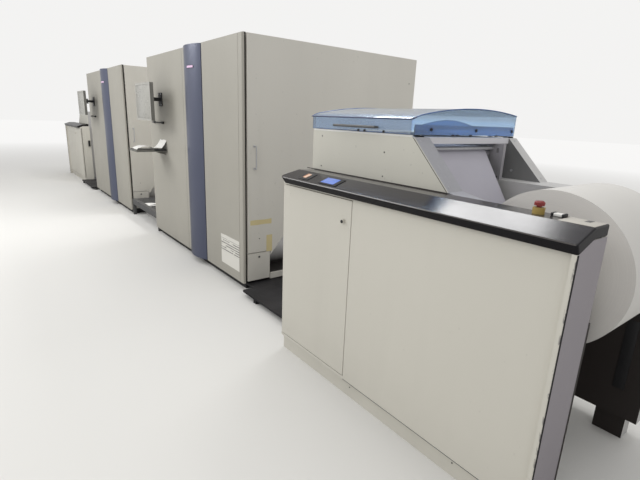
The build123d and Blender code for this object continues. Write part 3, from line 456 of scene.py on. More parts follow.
def housing_paint(name, colour, light, dark):
    """Tower housing: painted roof and back, dark joints, and web openings with painted light on their pale
    upper walls and painted shade below and on their low sills.
    """
    paint = Finish(name)
    colours = weathered(paint, colour)
    # Painted light and shade: the openings' side walls run from half the joint shade at the bottom to the
    # pale wall at the top.
    inside = paint.blend(paint.level(paint.axis("Z"), *DUCT_Z), shaded(dark, 0.5), shaded(light))
    gap_y = LINE_ZERO.y + SIDE_GAP_Y
    inside = paint.blend(paint.below(paint.axis("Y"), gap_y, gap_y + 0.001), inside, shaded(dark))
    colours = paint.blend(paint.level(paint.sideways(), 0.7, 0.8), colours, inside)
    # Painted shade on the openings' low sills.
    low = paint.below(paint.axis("Z"), SILL_Z + 0.002, SILL_Z + 0.003)
    on_sill = paint.times(low, paint.level(paint.facing("Z"), 0.7, 0.8))
    colours = paint.blend(on_sill, colours, shaded(dark, 0.5))
    front = paint.below(paint.facing("Y"), -0.8, -0.7)
    return coated(paint, paint.blend(front, colours, shaded(dark)), 0.5)


def frame_steel(name, colour, dark):
    """Ground steel of the near frame, whose low tail is black."""
    metal = Finish(name)
    lines = metal.soft(70, 5, (1.5, 1.5, 0.1), 0.25, 0.75)
    low = metal.below(metal.axis("Z"), TAIL_Z, TAIL_Z + 0.002)
    tail_x = UNIT_START + TAIL_U
    tail = metal.times(low, metal.level(metal.far_out(), tail_x, tail_x + 0.002))
    colours = metal.blend(tail, metal.shades(lines, colour, 0.92, 1.06), shaded(dark))
    rough = metal.level(lines, 0.0, 1.0, 0.4, 0.55)
    shine = metal.level(tail, 0.0, 1.0, 0.3, 0.0)
    return metal.surface(colours, rough, (lines, 0.12, 0.0003), Metallic=shine)


def far_frame_paint(name, light, dark, black):
    """Far frame: dark recessed wall, light ledge and edges, and a black low part of the inner face as
    painted shade.
    """
    casting = Finish(name)
    inner = casting.below(casting.facing("Y"), -0.9, -0.8)
    soft = casting.soft(4, 3, (1, 1, 0.5))
    lines = casting.soft(90, 3, (0.1, 1, 1.5))
    # Painted shade: below the ledge the inner faces turn black; above it they keep the light paint.
    ledge = casting.level(casting.axis("Z"), FAR_LEDGE_Z, FAR_LEDGE_Z + 0.004)
    face = casting.blend(ledge, shaded(black), casting.shades(soft, light, 1.1, 1.25))
    recess = casting.level(casting.depth(), FAR_WALL_Y - 0.008, FAR_WALL_Y - 0.004)
    face = casting.blend(recess, face, casting.shades(soft, dark, 1.3, 2.3))
    colours = casting.blend(inner, casting.shades(soft, light, 1.15, 1.3), face)
    rough = casting.level(lines, 0.0, 1.0, 0.38, 0.5)
    return casting.surface(colours, rough, (lines, 0.06, 0.0003), Metallic=0.1)


def brushed(name, colour, stretch, roughness=0.34, metallic=0.85):
    """Ground or brushed metal with fine lines along one axis."""
    metal = Finish(name)
    lines = metal.soft(70, 5, stretch, 0.25, 0.75)
    broad = metal.times(metal.soft(2.5, 3), 0.3)
    colours = metal.blend(broad, metal.shades(lines, colour, 0.86, 1.08), shaded(colour, 0.8))
    rough = metal.level(lines, 0.0, 1.0, roughness - 0.07, roughness + 0.1)
    return metal.surface(colours, rough, (lines, 0.12, 0.0003), Metallic=metallic)


def moulded(name, colour, roughness=0.45, grain=900.0, coat=0.0):
    """Moulded plastic or coated metal with a fine grain."""
    plastic = Finish(name)
    colours = plastic.shades(plastic.soft(14, 4, low=0.35, high=0.75), colour, 0.88, 1.14)
    rough = plastic.soft(6, 3, to_low=roughness - 0.06, to_high=roughness + 0.1)
    bump = (plastic.cloud(grain, 2), 0.14, 0.0004)
    return plastic.surface(colours, rough, bump, Coat_Weight=coat, Coat_Roughness=0.15)


def column_paint(name, colour):
    """Smooth slate blue lacquer with a faint vertical drift."""
    lacquer = Finish(name)
    drift = lacquer.soft(1.4, 3, (1, 1, 0.25))
    wiped = lacquer.soft(12, 4, (1, 1, 0.08), 0.5, 0.8, to_high=0.18)
    colours = lacquer.blend(wiped, lacquer.shades(drift, colour, 0.93, 1.05), shaded(colour, 0.8))
    rough = lacquer.level(drift, 0.0, 1.0, 0.28, 0.36)
    grain = (lacquer.cloud(300, 2), 0.05, 0.0004)
    return lacquer.surface(colours, rough, grain, Metallic=0.25, Coat_Weight=0.35, Coat_Roughness=0.12)


def control_top(name, slope, nose, ridge):
    """Satin slope, gloss black nose and ends, bevels lightened as a painted highlight, and a brown grey
    ridge with a painted reflection, lighter at the tower end.
    """
    top = Finish(name)
    upward = top.facing("Z")
    worn = top.soft(5, 5, (0.5, 1, 1), 0.35, 0.75)
    # Painted reflection of the tower side: the ridge goes from lighter at the tower end to darker outwards.
    ridge_reflection_fade = top.level(top.far_out(), UNIT_START + 0.2, UNIT_START + 1.4)
    back = top.shades(ridge_reflection_fade, ridge, 1.15, 0.6)
    on_ridge = top.level(top.depth(), RIDGE_Y - 0.001, RIDGE_Y + 0.001)
    colours = top.blend(on_ridge, top.shades(worn, slope, 0.9, 1.2), back)
    # Painted highlight: the bevels between slope, nose and ends take a lighter brown grey.
    colours = top.blend(top.below(upward, 0.88, 0.92), colours, shaded(ridge, 0.9))
    black = top.higher(top.below(upward, 0.15, 0.3), top.level(top.sideways(), 0.35, 0.45))
    colours = top.blend(black, colours, shaded(nose))
    rough = top.level(worn, 0.0, 1.0, 0.17, 0.25)
    return top.surface(colours, rough, (top.cloud(700, 2), 0.08, 0.0003), Specular_IOR_Level=0.5)


def clear_blue(name, colour, clearness, roughness, painted_sheen=0.0):
    """Tinted acrylic with faint swirls and light scuffs, a whitened top and a lighter near face as painted
    reflections, and a paler end wall as painted light.
    """
    acrylic = Finish(name)
    near_y = LINE_ZERO.y + COVER_NEAR_Y
    end_x = UNIT_START + COVER_U[2]
    end = (acrylic.axis("X"), end_x - 0.008, end_x - 0.004)
    # Painted reflection: the top, and the near face at half strength, turn whiter, less clear and rougher,
    # away from the end wall.
    near = acrylic.level(acrylic.axis("Y"), near_y + 0.005, near_y + 0.006, 0.5, 0.0)
    top = acrylic.level(acrylic.axis("Z"), COVER_NEAR_TOP[1] - 0.002, COVER_SHOULDER[1])
    top = acrylic.times(acrylic.higher(top, near), acrylic.below(*end))
    tint = acrylic.shades(acrylic.soft(4, 3, (0.5, 1, 1)), colour, 0.95)
    # Painted light: the end wall takes a paler tint.
    tint = acrylic.blend(acrylic.level(*end, 0.0, 0.45), tint, (0.80, 0.96, 1.0, 1.0))
    colours = acrylic.blend(acrylic.times(top, 2 * painted_sheen), tint, (0.9, 0.9, 0.9, 1.0))
    scuff = acrylic.soft(6, 2, (0.4, 1, 1))
    rough = acrylic.level(scuff, 0.0, 1.0, roughness, roughness + 0.02)
    rough = acrylic.maths("ADD", rough, acrylic.level(top, 0.5, 1.0, 0.0, 0.3 * painted_sheen))
    clear = acrylic.level(top, 0.0, 1.0, clearness, clearness - painted_sheen)
    return acrylic.surface(colours, rough, Transmission_Weight=clear, IOR=1.42)


def plain_paper(name, colour, roughness=0.8):
    """Uncoated paper: faint fibre and soft tone changes."""
    paper = Finish(name)
    colours = paper.shades(paper.soft(5, 4), colour, 0.95)
    return paper.surface(colours, roughness, (paper.cloud(500, 3), 0.1, 0.0003), Specular_IOR_Level=0.25)


def wound_paper(name, colour, side):
    """Wound roll: fine rings and greyer paper edges on its ends, broad bands round its outside."""
    roll = Finish(name)
    along = roll.maths("SUBTRACT", roll.far_out(), UNIT_START + ROLL_U)
    above = roll.maths("SUBTRACT", roll.axis("Z"), ROLL_Z)
    offset = roll.make("ShaderNodeCombineXYZ", {0: along, 2: above})
    radius = roll.add("ShaderNodeVectorMath", {0: offset}, operation="LENGTH").outputs["Value"]
    ring, layer = (
        roll.make("ShaderNodeTexNoise", {"W": radius, **grain}, noise_dimensions="1D")
        for grain in ({"Scale": 260.0, "Detail": 3.0}, {"Scale": 34.0, "Detail": 2.0})
    )
    broad = roll.times(roll.level(layer, 0.35, 0.65), 0.5)
    ends = roll.blend(broad, roll.shades(roll.level(ring, 0.3, 0.7), side, 0.94), shaded(side, 0.95))
    on_outside = roll.level(radius, ROLL_R - 0.002, ROLL_R - 0.001)
    colours = roll.blend(on_outside, ends, roll.shades(roll.soft(3, 3), colour, 0.96))
    return roll.surface(colours, 0.78, (ring, 0.2, 0.0004), Specular_IOR_Level=0.25)


def glowing(name, colour, strength, cell, depth=0.5):
    """Lit plastic or display glass with a faint grid of cells."""
    lit = Finish(name)
    share = lit.level(lit.cells(cell, distance="CHEBYCHEV"), 0.2, 0.7)
    glow = lit.blend(share, shaded(colour), shaded(colour, 0.8))
    return lit.surface(shaded(colour, depth), 0.2, Emission_Color=glow, Emission_Strength=strength)


def screen_case(name, light, dark, front_y, top_z):
    """Screen shell: pale front rim and top lip, darker sides and back."""
    case = Finish(name)
    front = case.below(case.axis("Y"), front_y + 0.0012, front_y + 0.0014)
    pale = case.higher(front, case.level(case.axis("Z"), top_z - 0.0012, top_z - 0.001))
    soft = case.soft(12, 3)
    colours = case.blend(pale, case.shades(soft, dark, 0.9, 1.08), case.shades(soft, light, 0.95))
    return case.surface(colours, case.level(soft, 0.0, 1.0, 0.4, 0.5), (case.cloud(700, 2), 0.1, 0.0003))


def screen_glass(name, colour):
    """Pale screen with soft fields, as a window of plain controls looks from afar."""
    glass = Finish(name)
    share = glass.level(glass.cells(13.0, distance="CHEBYCHEV"), 0.15, 0.75)
    lines = glass.maths("FRACT", glass.times(glass.axis("Z"), 38.0))
    ruled = glass.level(lines, 0.86, 0.9, 0.0, 0.2)
    fields = glass.blend(share, shaded(colour), shaded(colour, 0.88))
    colours = glass.blend(ruled, fields, shaded(colour, 0.7))
    return glass.surface(colours, glass.level(share, 0.0, 1.0, 0.2, 0.3))


def tread(name, colour):
    """Coated step plate with a worn studded face."""
    plate = Finish(name)
    worn = plate.soft(3, 5, low=0.4, high=0.75)
    colours = plate.blend(worn, shaded(colour), shaded(colour, 1.9))
    studs = (plate.cells(45.0, feature="SMOOTH_F1"), 0.5, 0.0015)
    return plate.surface(colours, plate.level(worn, 0.0, 1.0, 0.62, 0.5), studs)


def notice_sheet(name, colour, low_z, high_z):
    """A bare notice: white film with a few faint rules and no words."""
    sheet = Finish(name)
    height = sheet.axis("Z")
    row = sheet.level(sheet.maths("FRACT", sheet.times(height, 44.0)), 0.42, 0.46)
    inside = sheet.level(height, low_z + 0.12, low_z + 0.125)
    upper = sheet.below(height, high_z - 0.04, high_z - 0.035)
    broken = sheet.soft(9, 1, (1, 1, 5), 0.40, 0.44)
    ruled = sheet.times(sheet.times(sheet.below(row, 0.0, 1.0), inside), sheet.times(upper, broken))
    colours = sheet.blend(sheet.times(ruled, 0.9), shaded(colour), shaded(colour, 0.22))
    return sheet.surface(colours, 0.4, (sheet.cloud(30, 2), 0.1, 0.0006))


def make_finishes(tones):
    """Every finish of the press, by its name."""
    low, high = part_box("tower_1_screen")
    looks = {
        # The tower fronts' tone is the side paint set darker as painted shade.
        "tower_front": (painted, tones.tower_front),
        "tower_side": (painted, tones.tower_side, 0.36, 0.06),
        "housing": (housing_paint, tones.roof, tones.opening_light, tones.joint),
        "plinth": (moulded, tones.plinth, 0.6),
        "blue": (column_paint, tones.blue),
        "console": (console_paint, tones.console, tones.console_end_shade),
        "cream": (painted, tones.cream, 0.4, 0.05),
        "frame_light": (painted, tones.frame_light, 0.45, 0.08),
        "near_frame": (frame_steel, tones.machined, tones.joint),
        "far_frame": (far_frame_paint, tones.frame_light, tones.frame_dark, tones.joint),
        "dark_steel": (moulded, tones.frame_dark, 0.42, 260.0),
        "beam": (painted, tones.ledge, 0.4, 0.04, 0.1),
        "joint": (moulded, tones.joint, 0.6),
        "plate": (brushed, tones.plate_grey, (1, 1, 0.2), 0.42, 0.3),
        "roller": (brushed, tones.bright, (3, 0.05, 3), 0.26, 0.9),
        "bright": (brushed, tones.bright, (1, 1, 0.2), 0.34, 0.6),
        "top": (control_top, tones.black_slope, tones.black_nose, tones.ridge),
        # The cover's last value is its painted sheen.
        "cover": (clear_blue, tones.cover, 0.93, 0.05, 0.20),
        "cover_edge": (moulded, tones.cover_edge, 0.35),
        "cover_rim": (moulded, tones.cover_rim, 0.3),
        "cover_band": (clear_blue, tones.cover_band, 0.6, 0.12),
        "paper": (plain_paper, tones.paper),
        "web": (plain_paper, tones.web),
        "roll": (wound_paper, tones.roll, tones.roll_side),
        "black_plastic": (moulded, tones.black_plastic),
        "rubber": (tread, tones.rubber),
        "screen_case": (screen_case, tones.screen_face, tones.screen_shell, low.y, high.z),
        "screen_glass": (screen_glass, tones.screen_face),
        "shelf": (moulded, tones.screen_shell, 0.45),
        "strip": (painted, tones.strip, 0.35, 0.03, 0.1),
        "display": (glowing, tones.display, 0.45, 90.0),
        "lamp": (glowing, tones.lamp, 0.4, 140.0),
        "button": (glowing, tones.button, 0.3, 140.0, 0.6),
        "amber": (moulded, tones.amber, 0.3),
        "tape": (plain_paper, tones.tape, 0.6),
        "red": (moulded, tones.red, 0.3, 900.0, 0.3),
        "yellow": (moulded, tones.yellow, 0.4),
        "notice": (notice_sheet, tones.notice, NOTICE_Z[0], NOTICE_Z[-1]),
    }
    return {name: make(name, *values) for name, (make, *values) in looks.items()}


FINISHES = {}

# CAD nodes by finish, named without their unit
NODE_FINISHES = {
    "plinth": "plinth",
    "housing": "housing",
    "tower_front": "front_panels",
    "blue": "blue_panel",
    "tower_side": "side_panels",
    "bright": "side_handles guard_rod roll_chucks",
    "black_plastic": "screen_bracket end_latches black_box",
    "screen_case": "screen",
    "console": "console console_door",
    "top": "console_top",
    "frame_light": "end_wall housing_lid",
    "near_frame": "near_frame",
    "far_frame": "far_frame",
    "plate": "roller_plate",
    "beam": "cross_beams",
    "cream": "infeed_side_panel outfeed_side_panel",
    "roller": "infeed_roller outfeed_roller turn_roller",
    "web": "paper_web",
    "roll": "paper_roll",
    "cover": "infeed_cover",
    "dark_steel": "cover_fittings bench",
    "yellow": "stop_base",
    "red": "stop_button",
    "shelf": "paper_shelf",
    "rubber": "step_plates",
}


def finish_nodes():
    """Gives every CAD node its finish."""
    finish_of = {node: finish for finish, nodes in NODE_FINISHES.items() for node in nodes.split()}
    for name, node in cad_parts.items():
        short = name
        for start in ("tower_1_", "tower_2_", "unwinder_", "rewinder_"):
            short = short.removeprefix(start)
        node.data.materials.clear()
        node.data.materials.append(FINISHES[finish_of[short]])


# Making pieces
class Shape:
    """One piece, built from rounded blocks, rods and bent sheets in the frame's own places."""

    def __init__(self):
        self.mesh = bmesh.new()

    def round_off(self, edges, rounding, steps):
        if rounding:
            bmesh.ops.bevel(
                self.mesh, geom=list(edges), offset=rounding, segments=steps, affect="EDGES", profile=0.5
            )
        return self

    def block(self, corner, opposite, rounding=0.001, steps=2, turn=None):
        lo, hi = (Vector([pick(pair) for pair in zip(corner, opposite)]) for pick in (min, max))
        made = bmesh.ops.create_cube(self.mesh, size=1.0)["verts"]
        place = Matrix.Translation((lo + hi) / 2) @ Matrix.Diagonal((*(hi - lo), 1.0))
        bmesh.ops.transform(self.mesh, matrix=(turn or Matrix()) @ place, verts=made)
        return self.round_off(dict.fromkeys(e for v in made for e in v.link_edges), rounding, steps)

    def rod(self, start, end, radius, sides=28, rounding=0.0):
        start, end = Vector(start), Vector(end)
        along = end - start
        made = bmesh.ops.create_cone(
            self.mesh,
            cap_ends=True,
            segments=sides,
            radius1=radius,
            radius2=radius,
            depth=along.length,
            matrix=Matrix.Translation((start + end) / 2) @ facing_matrix(along),
        )["verts"]
        edges = dict.fromkeys(edge for vert in made for edge in vert.link_edges)
        rims = [edge for edge in edges if any(len(face.verts) > 4 for face in edge.link_faces)]
        return self.round_off(rims, rounding, 2)

    def sheet(self, rows, thickness):
        """A bent sheet from rows of points, thickened along its normals."""
        grid = [[self.mesh.verts.new(point) for point in row] for row in rows]
        faces = [
            self.mesh.faces.new(corners)
            for first, second in zip(grid, grid[1:])
            for corners in zip(first, first[1:], second[1:], second)
        ]
        bmesh.ops.recalc_face_normals(self.mesh, faces=faces)
        bmesh.ops.solidify(self.mesh, geom=faces, thickness=thickness)
        return self

    def done(self, name, finish, slot, body="machine", smooth=True):
        bmesh.ops.recalc_face_normals(self.mesh, faces=self.mesh.faces)
        data = bpy.data.meshes.new(name)
        self.mesh.to_mesh(data)
        self.mesh.free()
        settle(name, data, finish, slot, body, smooth)


def facing_matrix(direction):
    return direction.to_track_quat("Z", "Y").to_matrix().to_4x4()


def linked(name, data):
    """A new object in the scene."""
    made = bpy.data.objects.new(name, data)
    bpy.context.scene.collection.objects.link(made)
    return made


def settle(name, data, finish, slot, body, smooth):
    """Links a finished mesh as a piece that rides on a body."""
    piece = linked(name, data)
    if not data.materials:
        data.materials.append(FINISHES[finish])
    if smooth:
        data.shade_smooth()
        data.set_sharp_from_angle(angle=CREASE_ANGLE)
    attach(piece, body)


def blocks(name, sizes, finish, slot, body="machine", smooth=True, turn=None):
    """A piece of rounded blocks, each two opposite corners, a rounding and perhaps the rounding's steps."""
    shape = Shape()
    for size in sizes:
        shape.block(*size, turn=turn)
    shape.done(name, finish, slot, body, smooth)


def bent_sheet(name, rows, columns, point, thickness):
    """A paper through the points that a rule gives for each row and column."""
    Shape().sheet([[point(i, j) for j in range(columns)] for i in range(rows)], thickness).done(name, *PAPER)


def circle_through(a, b, c):
    """Centre and radius of the circle through three (y, z) places."""
    (ax, ay), (bx, by), (cx, cy) = a, b, c
    d = 2 * (ax * (by - cy) + bx * (cy - ay) + cx * (ay - by))
    a2, b2, c2 = ax * ax + ay * ay, bx * bx + by * by, cx * cx + cy * cy
    mx = (a2 * (by - cy) + b2 * (cy - ay) + c2 * (ay - by)) / d
    my = (a2 * (cx - bx) + b2 * (ax - cx) + c2 * (bx - ax)) / d
    return mx, my, math.hypot(ax - mx, ay - my)


def vault_z(y):
    """Height of the clear cover's outer face at a depth."""
    places = (COVER_SHOULDER, COVER_CROWN, COVER_FAR_TOP)
    if y < COVER_SHOULDER[0]:
        places = (COVER_NEAR_TOP, COVER_BEND, COVER_SHOULDER)
    middle_y, middle_z, radius = circle_through(*places)
    return middle_z + math.sqrt(radius * radius - (y - middle_y) ** 2)


# Geometry Nodes trees
SOCKET_KINDS = {int: "NodeSocketInt", float: "NodeSocketFloat", tuple: "NodeSocketVector"}


class GrowTree(NodeTree):
    """A Geometry Nodes tree that takes points and edges, with named inputs."""

    def __init__(self, name, **inputs):
        super().__init__(bpy.data.node_groups.new(name, "GeometryNodeTree"))
        face = self.tree.interface
        face.new_socket("Geometry", in_out="INPUT", socket_type="NodeSocketGeometry")
        for label, value in inputs.items():
            socket = face.new_socket(label, in_out="INPUT", socket_type=SOCKET_KINDS[type(value)])
            socket.default_value = value
        face.new_socket("Material", in_out="INPUT", socket_type="NodeSocketMaterial")
        face.new_socket("Geometry", in_out="OUTPUT", socket_type="NodeSocketGeometry")
        self.source = self.tree.nodes.new("NodeGroupInput").outputs

    def copies(self, points, instance, **inputs):
        return self.make("GeometryNodeInstanceOnPoints", {"Points": points, "Instance": instance, **inputs})

    def line(self, count, step):
        return self.make("GeometryNodeMeshLine", {"Count": count, "Offset": step})

    def upward(self, distance):
        return self.make("ShaderNodeCombineXYZ", {2: distance})

    def pushed(self, mesh, distance, **inputs):
        """The outputs of a node that pushes faces out by a distance."""
        inputs = {"Mesh": mesh, "Offset Scale": distance, **inputs}
        return self.add("GeometryNodeExtrudeMesh", inputs, mode="FACES").outputs

    def scattered(self, reach):
        """A random vector within a reach either way."""
        inputs = {0: [-value for value in reach], 1: reach, "Seed": self.source["Seed"]}
        return self.make("FunctionNodeRandomValue", inputs, data_type="FLOAT_VECTOR")

    def close(self, geometry, smooth=False):
        geometry = self.make("GeometryNodeRealizeInstances", {"Geometry": geometry})
        geometry = self.make("GeometryNodeSetShadeSmooth", {"Geometry": geometry, "Shade Smooth": smooth})
        inputs = {"Geometry": geometry, "Material": self.source["Material"]}
        geometry = self.make("GeometryNodeSetMaterial", inputs)
        self.feed(self.tree.nodes.new("NodeGroupOutput").inputs[0], geometry)
        return self.tree


def screw_tree():
    """Socket screws on points, each turned to its own facing."""
    tree = GrowTree("socket_screws", Radius=0.006, Height=0.003, Sides=18, Socket=0.5)
    source = tree.source
    inputs = {"Vertices": source["Sides"], "Radius": source["Radius"], "Depth": source["Height"]}
    head = tree.add("GeometryNodeMeshCylinder", inputs).outputs
    ring = tree.pushed(head["Mesh"], 0.0, Selection=head["Top"])
    inputs = {"Geometry": ring["Mesh"], "Selection": ring["Top"], "Scale": source["Socket"]}
    socket = tree.make("GeometryNodeScaleElements", inputs)
    sunk = tree.pushed(socket, tree.maths("MULTIPLY", source["Height"], -0.6), Selection=ring["Top"])
    facing = tree.add("GeometryNodeInputNamedAttribute", {"Name": "facing"}, data_type="FLOAT_VECTOR")
    inputs = {"Vector": facing.outputs["Attribute"]}
    turn = tree.make("FunctionNodeAlignRotationToVector", inputs, axis="Z")
    return tree.close(tree.copies(source["Geometry"], sunk["Mesh"], Rotation=turn))


def bead_tree():
    """A round bead along a path of edges."""
    tree = GrowTree("edge_bead", Radius=0.003, Sides=8)
    path = tree.make("GeometryNodeMeshToCurve", {"Mesh": tree.source["Geometry"]})
    inputs = {"Resolution": tree.source["Sides"], "Radius": tree.source["Radius"]}
    profile = tree.add("GeometryNodeCurvePrimitiveCircle", inputs).outputs["Curve"]
    inputs = {"Curve": path, "Profile Curve": profile, "Fill Caps": True}
    return tree.close(tree.make("GeometryNodeCurveToMesh", inputs), smooth=True)


def bar_tree():
    """Equal bars in a row from each point."""
    tree = GrowTree("bar_row", Count=10, Step=(0.03, 0, 0), Bar=(0.004, 0.4, 0.01))
    bar = tree.add("GeometryNodeMeshCube", {"Size": tree.source["Bar"]}).outputs["Mesh"]
    bars = tree.copies(tree.line(tree.source["Count"], tree.source["Step"]), bar)
    return tree.close(tree.copies(tree.source["Geometry"], bars))


def sheet_tree():
    """A loose stack of curled sheets, each a little turned and shifted."""
    tree = GrowTree(
        "loose_sheets", Count=7, Size=(0.297, 0.21, 0), Rise=0.0016, Curl=0.02, Thickness=0.0003, Seed=4
    )
    source = tree.source
    sides = tree.add("ShaderNodeSeparateXYZ", {0: source["Size"]}).outputs
    inputs = {"Size X": sides[0], "Size Y": sides[1], "Vertices X": 13, "Vertices Y": 9}
    leaf = tree.add("GeometryNodeMeshGrid", inputs).outputs["Mesh"]
    where = tree.add("ShaderNodeSeparateXYZ", {0: tree.make("GeometryNodeInputPosition")}).outputs
    steep = tree.maths("POWER", tree.maths("DIVIDE", where[0], sides[0]), 3.0)
    kept = tree.maths("MAXIMUM", tree.maths("MULTIPLY", steep, 8.0), 0.0)
    lift = tree.upward(tree.maths("MULTIPLY", kept, source["Curl"]))
    bent = tree.make("GeometryNodeSetPosition", {"Geometry": leaf, "Offset": lift})
    raised = tree.pushed(bent, source["Thickness"], Individual=False)
    both = tree.add("GeometryNodeJoinGeometry", {"Geometry": raised["Mesh"]})
    tree.feed(both.inputs[0], tree.make("GeometryNodeFlipFaces", {"Mesh": bent}))
    inputs = {"Geometry": both.outputs[0], "Distance": 1e-5}
    closed = tree.make("GeometryNodeMergeByDistance", inputs)
    stack = tree.line(source["Count"], tree.upward(source["Rise"]))
    turn = tree.scattered((0, 0, 0.22))
    inputs = {"Geometry": stack, "Offset": tree.scattered((0.014, 0.02, 0))}
    leaves = tree.copies(tree.make("GeometryNodeSetPosition", inputs), closed, Rotation=turn)
    return tree.close(tree.copies(source["Geometry"], leaves))


TREES = {}


def grow(name, tree, points, finish, slot, body="machine", edges=(), facing=None, smooth=True, **inputs):
    """Runs a tree on points and edges, and keeps the result as a plain mesh that rides on a body."""
    data = bpy.data.meshes.new(name + "_seed")
    data.from_pydata([tuple(point) for point in points], list(edges), [])
    if facing is not None:
        attribute = data.attributes.new("facing", "FLOAT_VECTOR", "POINT")
        for item in attribute.data:
            item.vector = facing
    seed = linked(name + "_seed", data)
    modifier = seed.modifiers.new(tree, "NODES")
    modifier.node_group = TREES[tree]
    values = {**inputs, "Material": FINISHES[finish]}
    for item in modifier.node_group.interface.items_tree:
        if item.in_out == "INPUT" and item.name in values:
            modifier[item.identifier] = values[item.name]
    seed.update_tag()
    bpy.context.view_layer.update()
    graph = bpy.context.evaluated_depsgraph_get()
    grown = bpy.data.meshes.new_from_object(seed.evaluated_get(graph), depsgraph=graph)
    seed.modifiers.clear()
    bpy.data.objects.remove(seed)
    grown.name = name
    settle(name, grown, finish, slot, body, smooth)


def screws(name, places, facing, finish="bright", slot="machined", body="machine", **inputs):
    """Socket screws at places that all face one way."""
    sizes = bpy.context.scene.press_sizes
    values = {"Radius": sizes.screw_r, "Height": sizes.screw_h, **inputs}
    lifted = [Vector(place) + Vector(facing) * values["Height"] / 2 for place in places]
    grow(name, "screws", lifted, finish, slot, body, facing=facing, **values)


def bead(name, path, finish, slot, radius, body="machine"):
    """A round bead along a line of places."""
    edges = [(i, i + 1) for i in range(len(path) - 1)]
    grow(name, "beads", path, finish, slot, body, edges, Radius=radius)


# Towers
def bowed(place, x0, x1, z0, z1, proud):
    """Rows of points on the blue panel's bow, standing a little proud of it."""
    half = (BLUE_X[1] - BLUE_X[0]) / 2
    radius = (half * half + BLUE_BULGE * BLUE_BULGE) / (2 * BLUE_BULGE)
    middle = (BLUE_X[0] + BLUE_X[1]) / 2
    reach = radius + proud
    angles = [math.asin((x - middle) / radius) for x in spread(x0, x1, 10)]
    return [
        [place(middle + reach * math.sin(a), radius - BLUE_BULGE - reach * math.cos(a), z) for a in angles]
        for z in (z0, z1)
    ]


def dress_notice():
    """The bare notice with one loose corner, and two ragged strips of tape."""
    rows = []
    for z in NOTICE_Z:
        curls = [NOTICE_CURL if (x, z) == (NOTICE_X[0], NOTICE_Z[-1]) else 0.0 for x in NOTICE_X]
        rows.append([at(x, -2 * FILM - curl, z) for x, curl in zip(NOTICE_X, curls)])
    Shape().sheet(rows, FILM).done("notice_sheet", "notice", "paper")
    tapes = Shape()
    for (y0, z0), (y1, z1) in TAPES:
        across = spread(y0, y1, 6)
        ragged = [TAPE_RAGGED * math.sin(37 * y) for y in across]
        low = [at(TAPE_X[0], y, z0 + r) for y, r in zip(across, ragged)]
        middle = [at(TAPE_X[1], y, (z0 + z1) / 2) for y in across]
        high = [at(TAPE_X[0], y, z1 - r) for y, r in zip(across, ragged)]
        tapes.sheet([low, middle, high], FILM)
    tapes.done("tape_strips", "tape", "paper", smooth=False)


def dress_tower(number):
    """Status lamp, notice, panel screws, locks and handle feet of one tower."""
    place = on_tower(number)
    tag = f"tower_{number}_"
    Shape().sheet(bowed(place, *LAMP_RIM), LAMP_SKIN).done(tag + "lamp_rim", *BLACK)
    Shape().sheet(bowed(place, *LAMP_LENS), LAMP_SKIN).done(tag + "lamp_lens", "lamp", "warm_white")
    if number == 1:
        dress_notice()
    for side, x, way in (("", 0, 1), ("far_", TOWER_LEFT, -1)):
        spots = [place(x, y, z) for y, z in SIDE_SCREWS]
        screws(f"{tag}{side}side_screws", spots, (way, 0, 0), "dark_steel", Radius=SIDE_SCREW_R)
    for side, x, way in (("near", 0, 1), ("far", TOWER_LEFT, -1)):
        out = Vector((way, 0, 0))
        lock = place(x, *LOCK_PLACE)
        key = lock + out * LOCK_KEY_X
        turning = Shape().rod(*(lock + out * reach for reach in LOCK_DISC_X), FOOT_R, 24, 0.0006)
        turning.block(key - LOCK_KEY_HALF, key + LOCK_KEY_HALF, 0.0004)
        turning.done(f"{tag}{side}_lock_key", "dark_steel", "machined")
        feet = Shape()
        for z in HANDLE_FEET_Z:
            foot = place(x, HANDLE_Y, z)
            feet.rod(foot, foot + out * FOOT_LENGTH, FOOT_R, 24, 0.001)
        feet.done(f"{tag}{side}_handle_feet", "bright", "light_grey")


def dress_screen(number):
    """Pale glass in the front recess and rear vents of one swivel screen, its bracket's screws and rail."""
    body = f"screen_{number}"
    place = on_tower(number)
    lo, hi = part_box(f"tower_{number}_screen")
    front, back = (lo.y + depth for depth in GLASS_DEPTH)
    corner = (lo.x + GLASS_RIM, front, lo.z + GLASS_RIM)
    glass = (corner, (hi.x - GLASS_RIM, back, hi.z - GLASS_RIM), 0.0006)
    blocks(body + "_glass", [glass], "screen_glass", "screen_grey", body)
    row = [(lo.x + 0.06, lo.y + 0.0406, lo.z + 0.05 + 0.014 * i) for i in range(5)]
    bars = {"Count": 12, "Step": (0.018, 0, 0), "Bar": (0.012, 0.0012, 0.004)}
    grow(body + "_vents", "bars", row, *BLACK, body, **bars)
    (x, z), (wide, high) = BRACKET_XZ, BRACKET_HALF
    plate = [place(x + across * wide, -0.010, z + up * high) for across in (-1, 1) for up in (-1, 1)]
    screws(body + "_bracket_screws", plate, (0, -1, 0), slot="black_metal", Radius=0.007)
    start, end = (place(x, RAIL_Y, RAIL_Z) for x in RAIL_X)
    rail = Shape().rod(start, end, RAIL_R, 16, 0.001)
    for x in RAIL_CLIPS_X:
        rail.block(place(x - 0.012, RAIL_Y, RAIL_Z - 0.014), place(x + 0.012, 0.0, RAIL_Z + 0.014), 0.002)
    rail.done(f"tower_{number}_cable_rail", *BLACK)


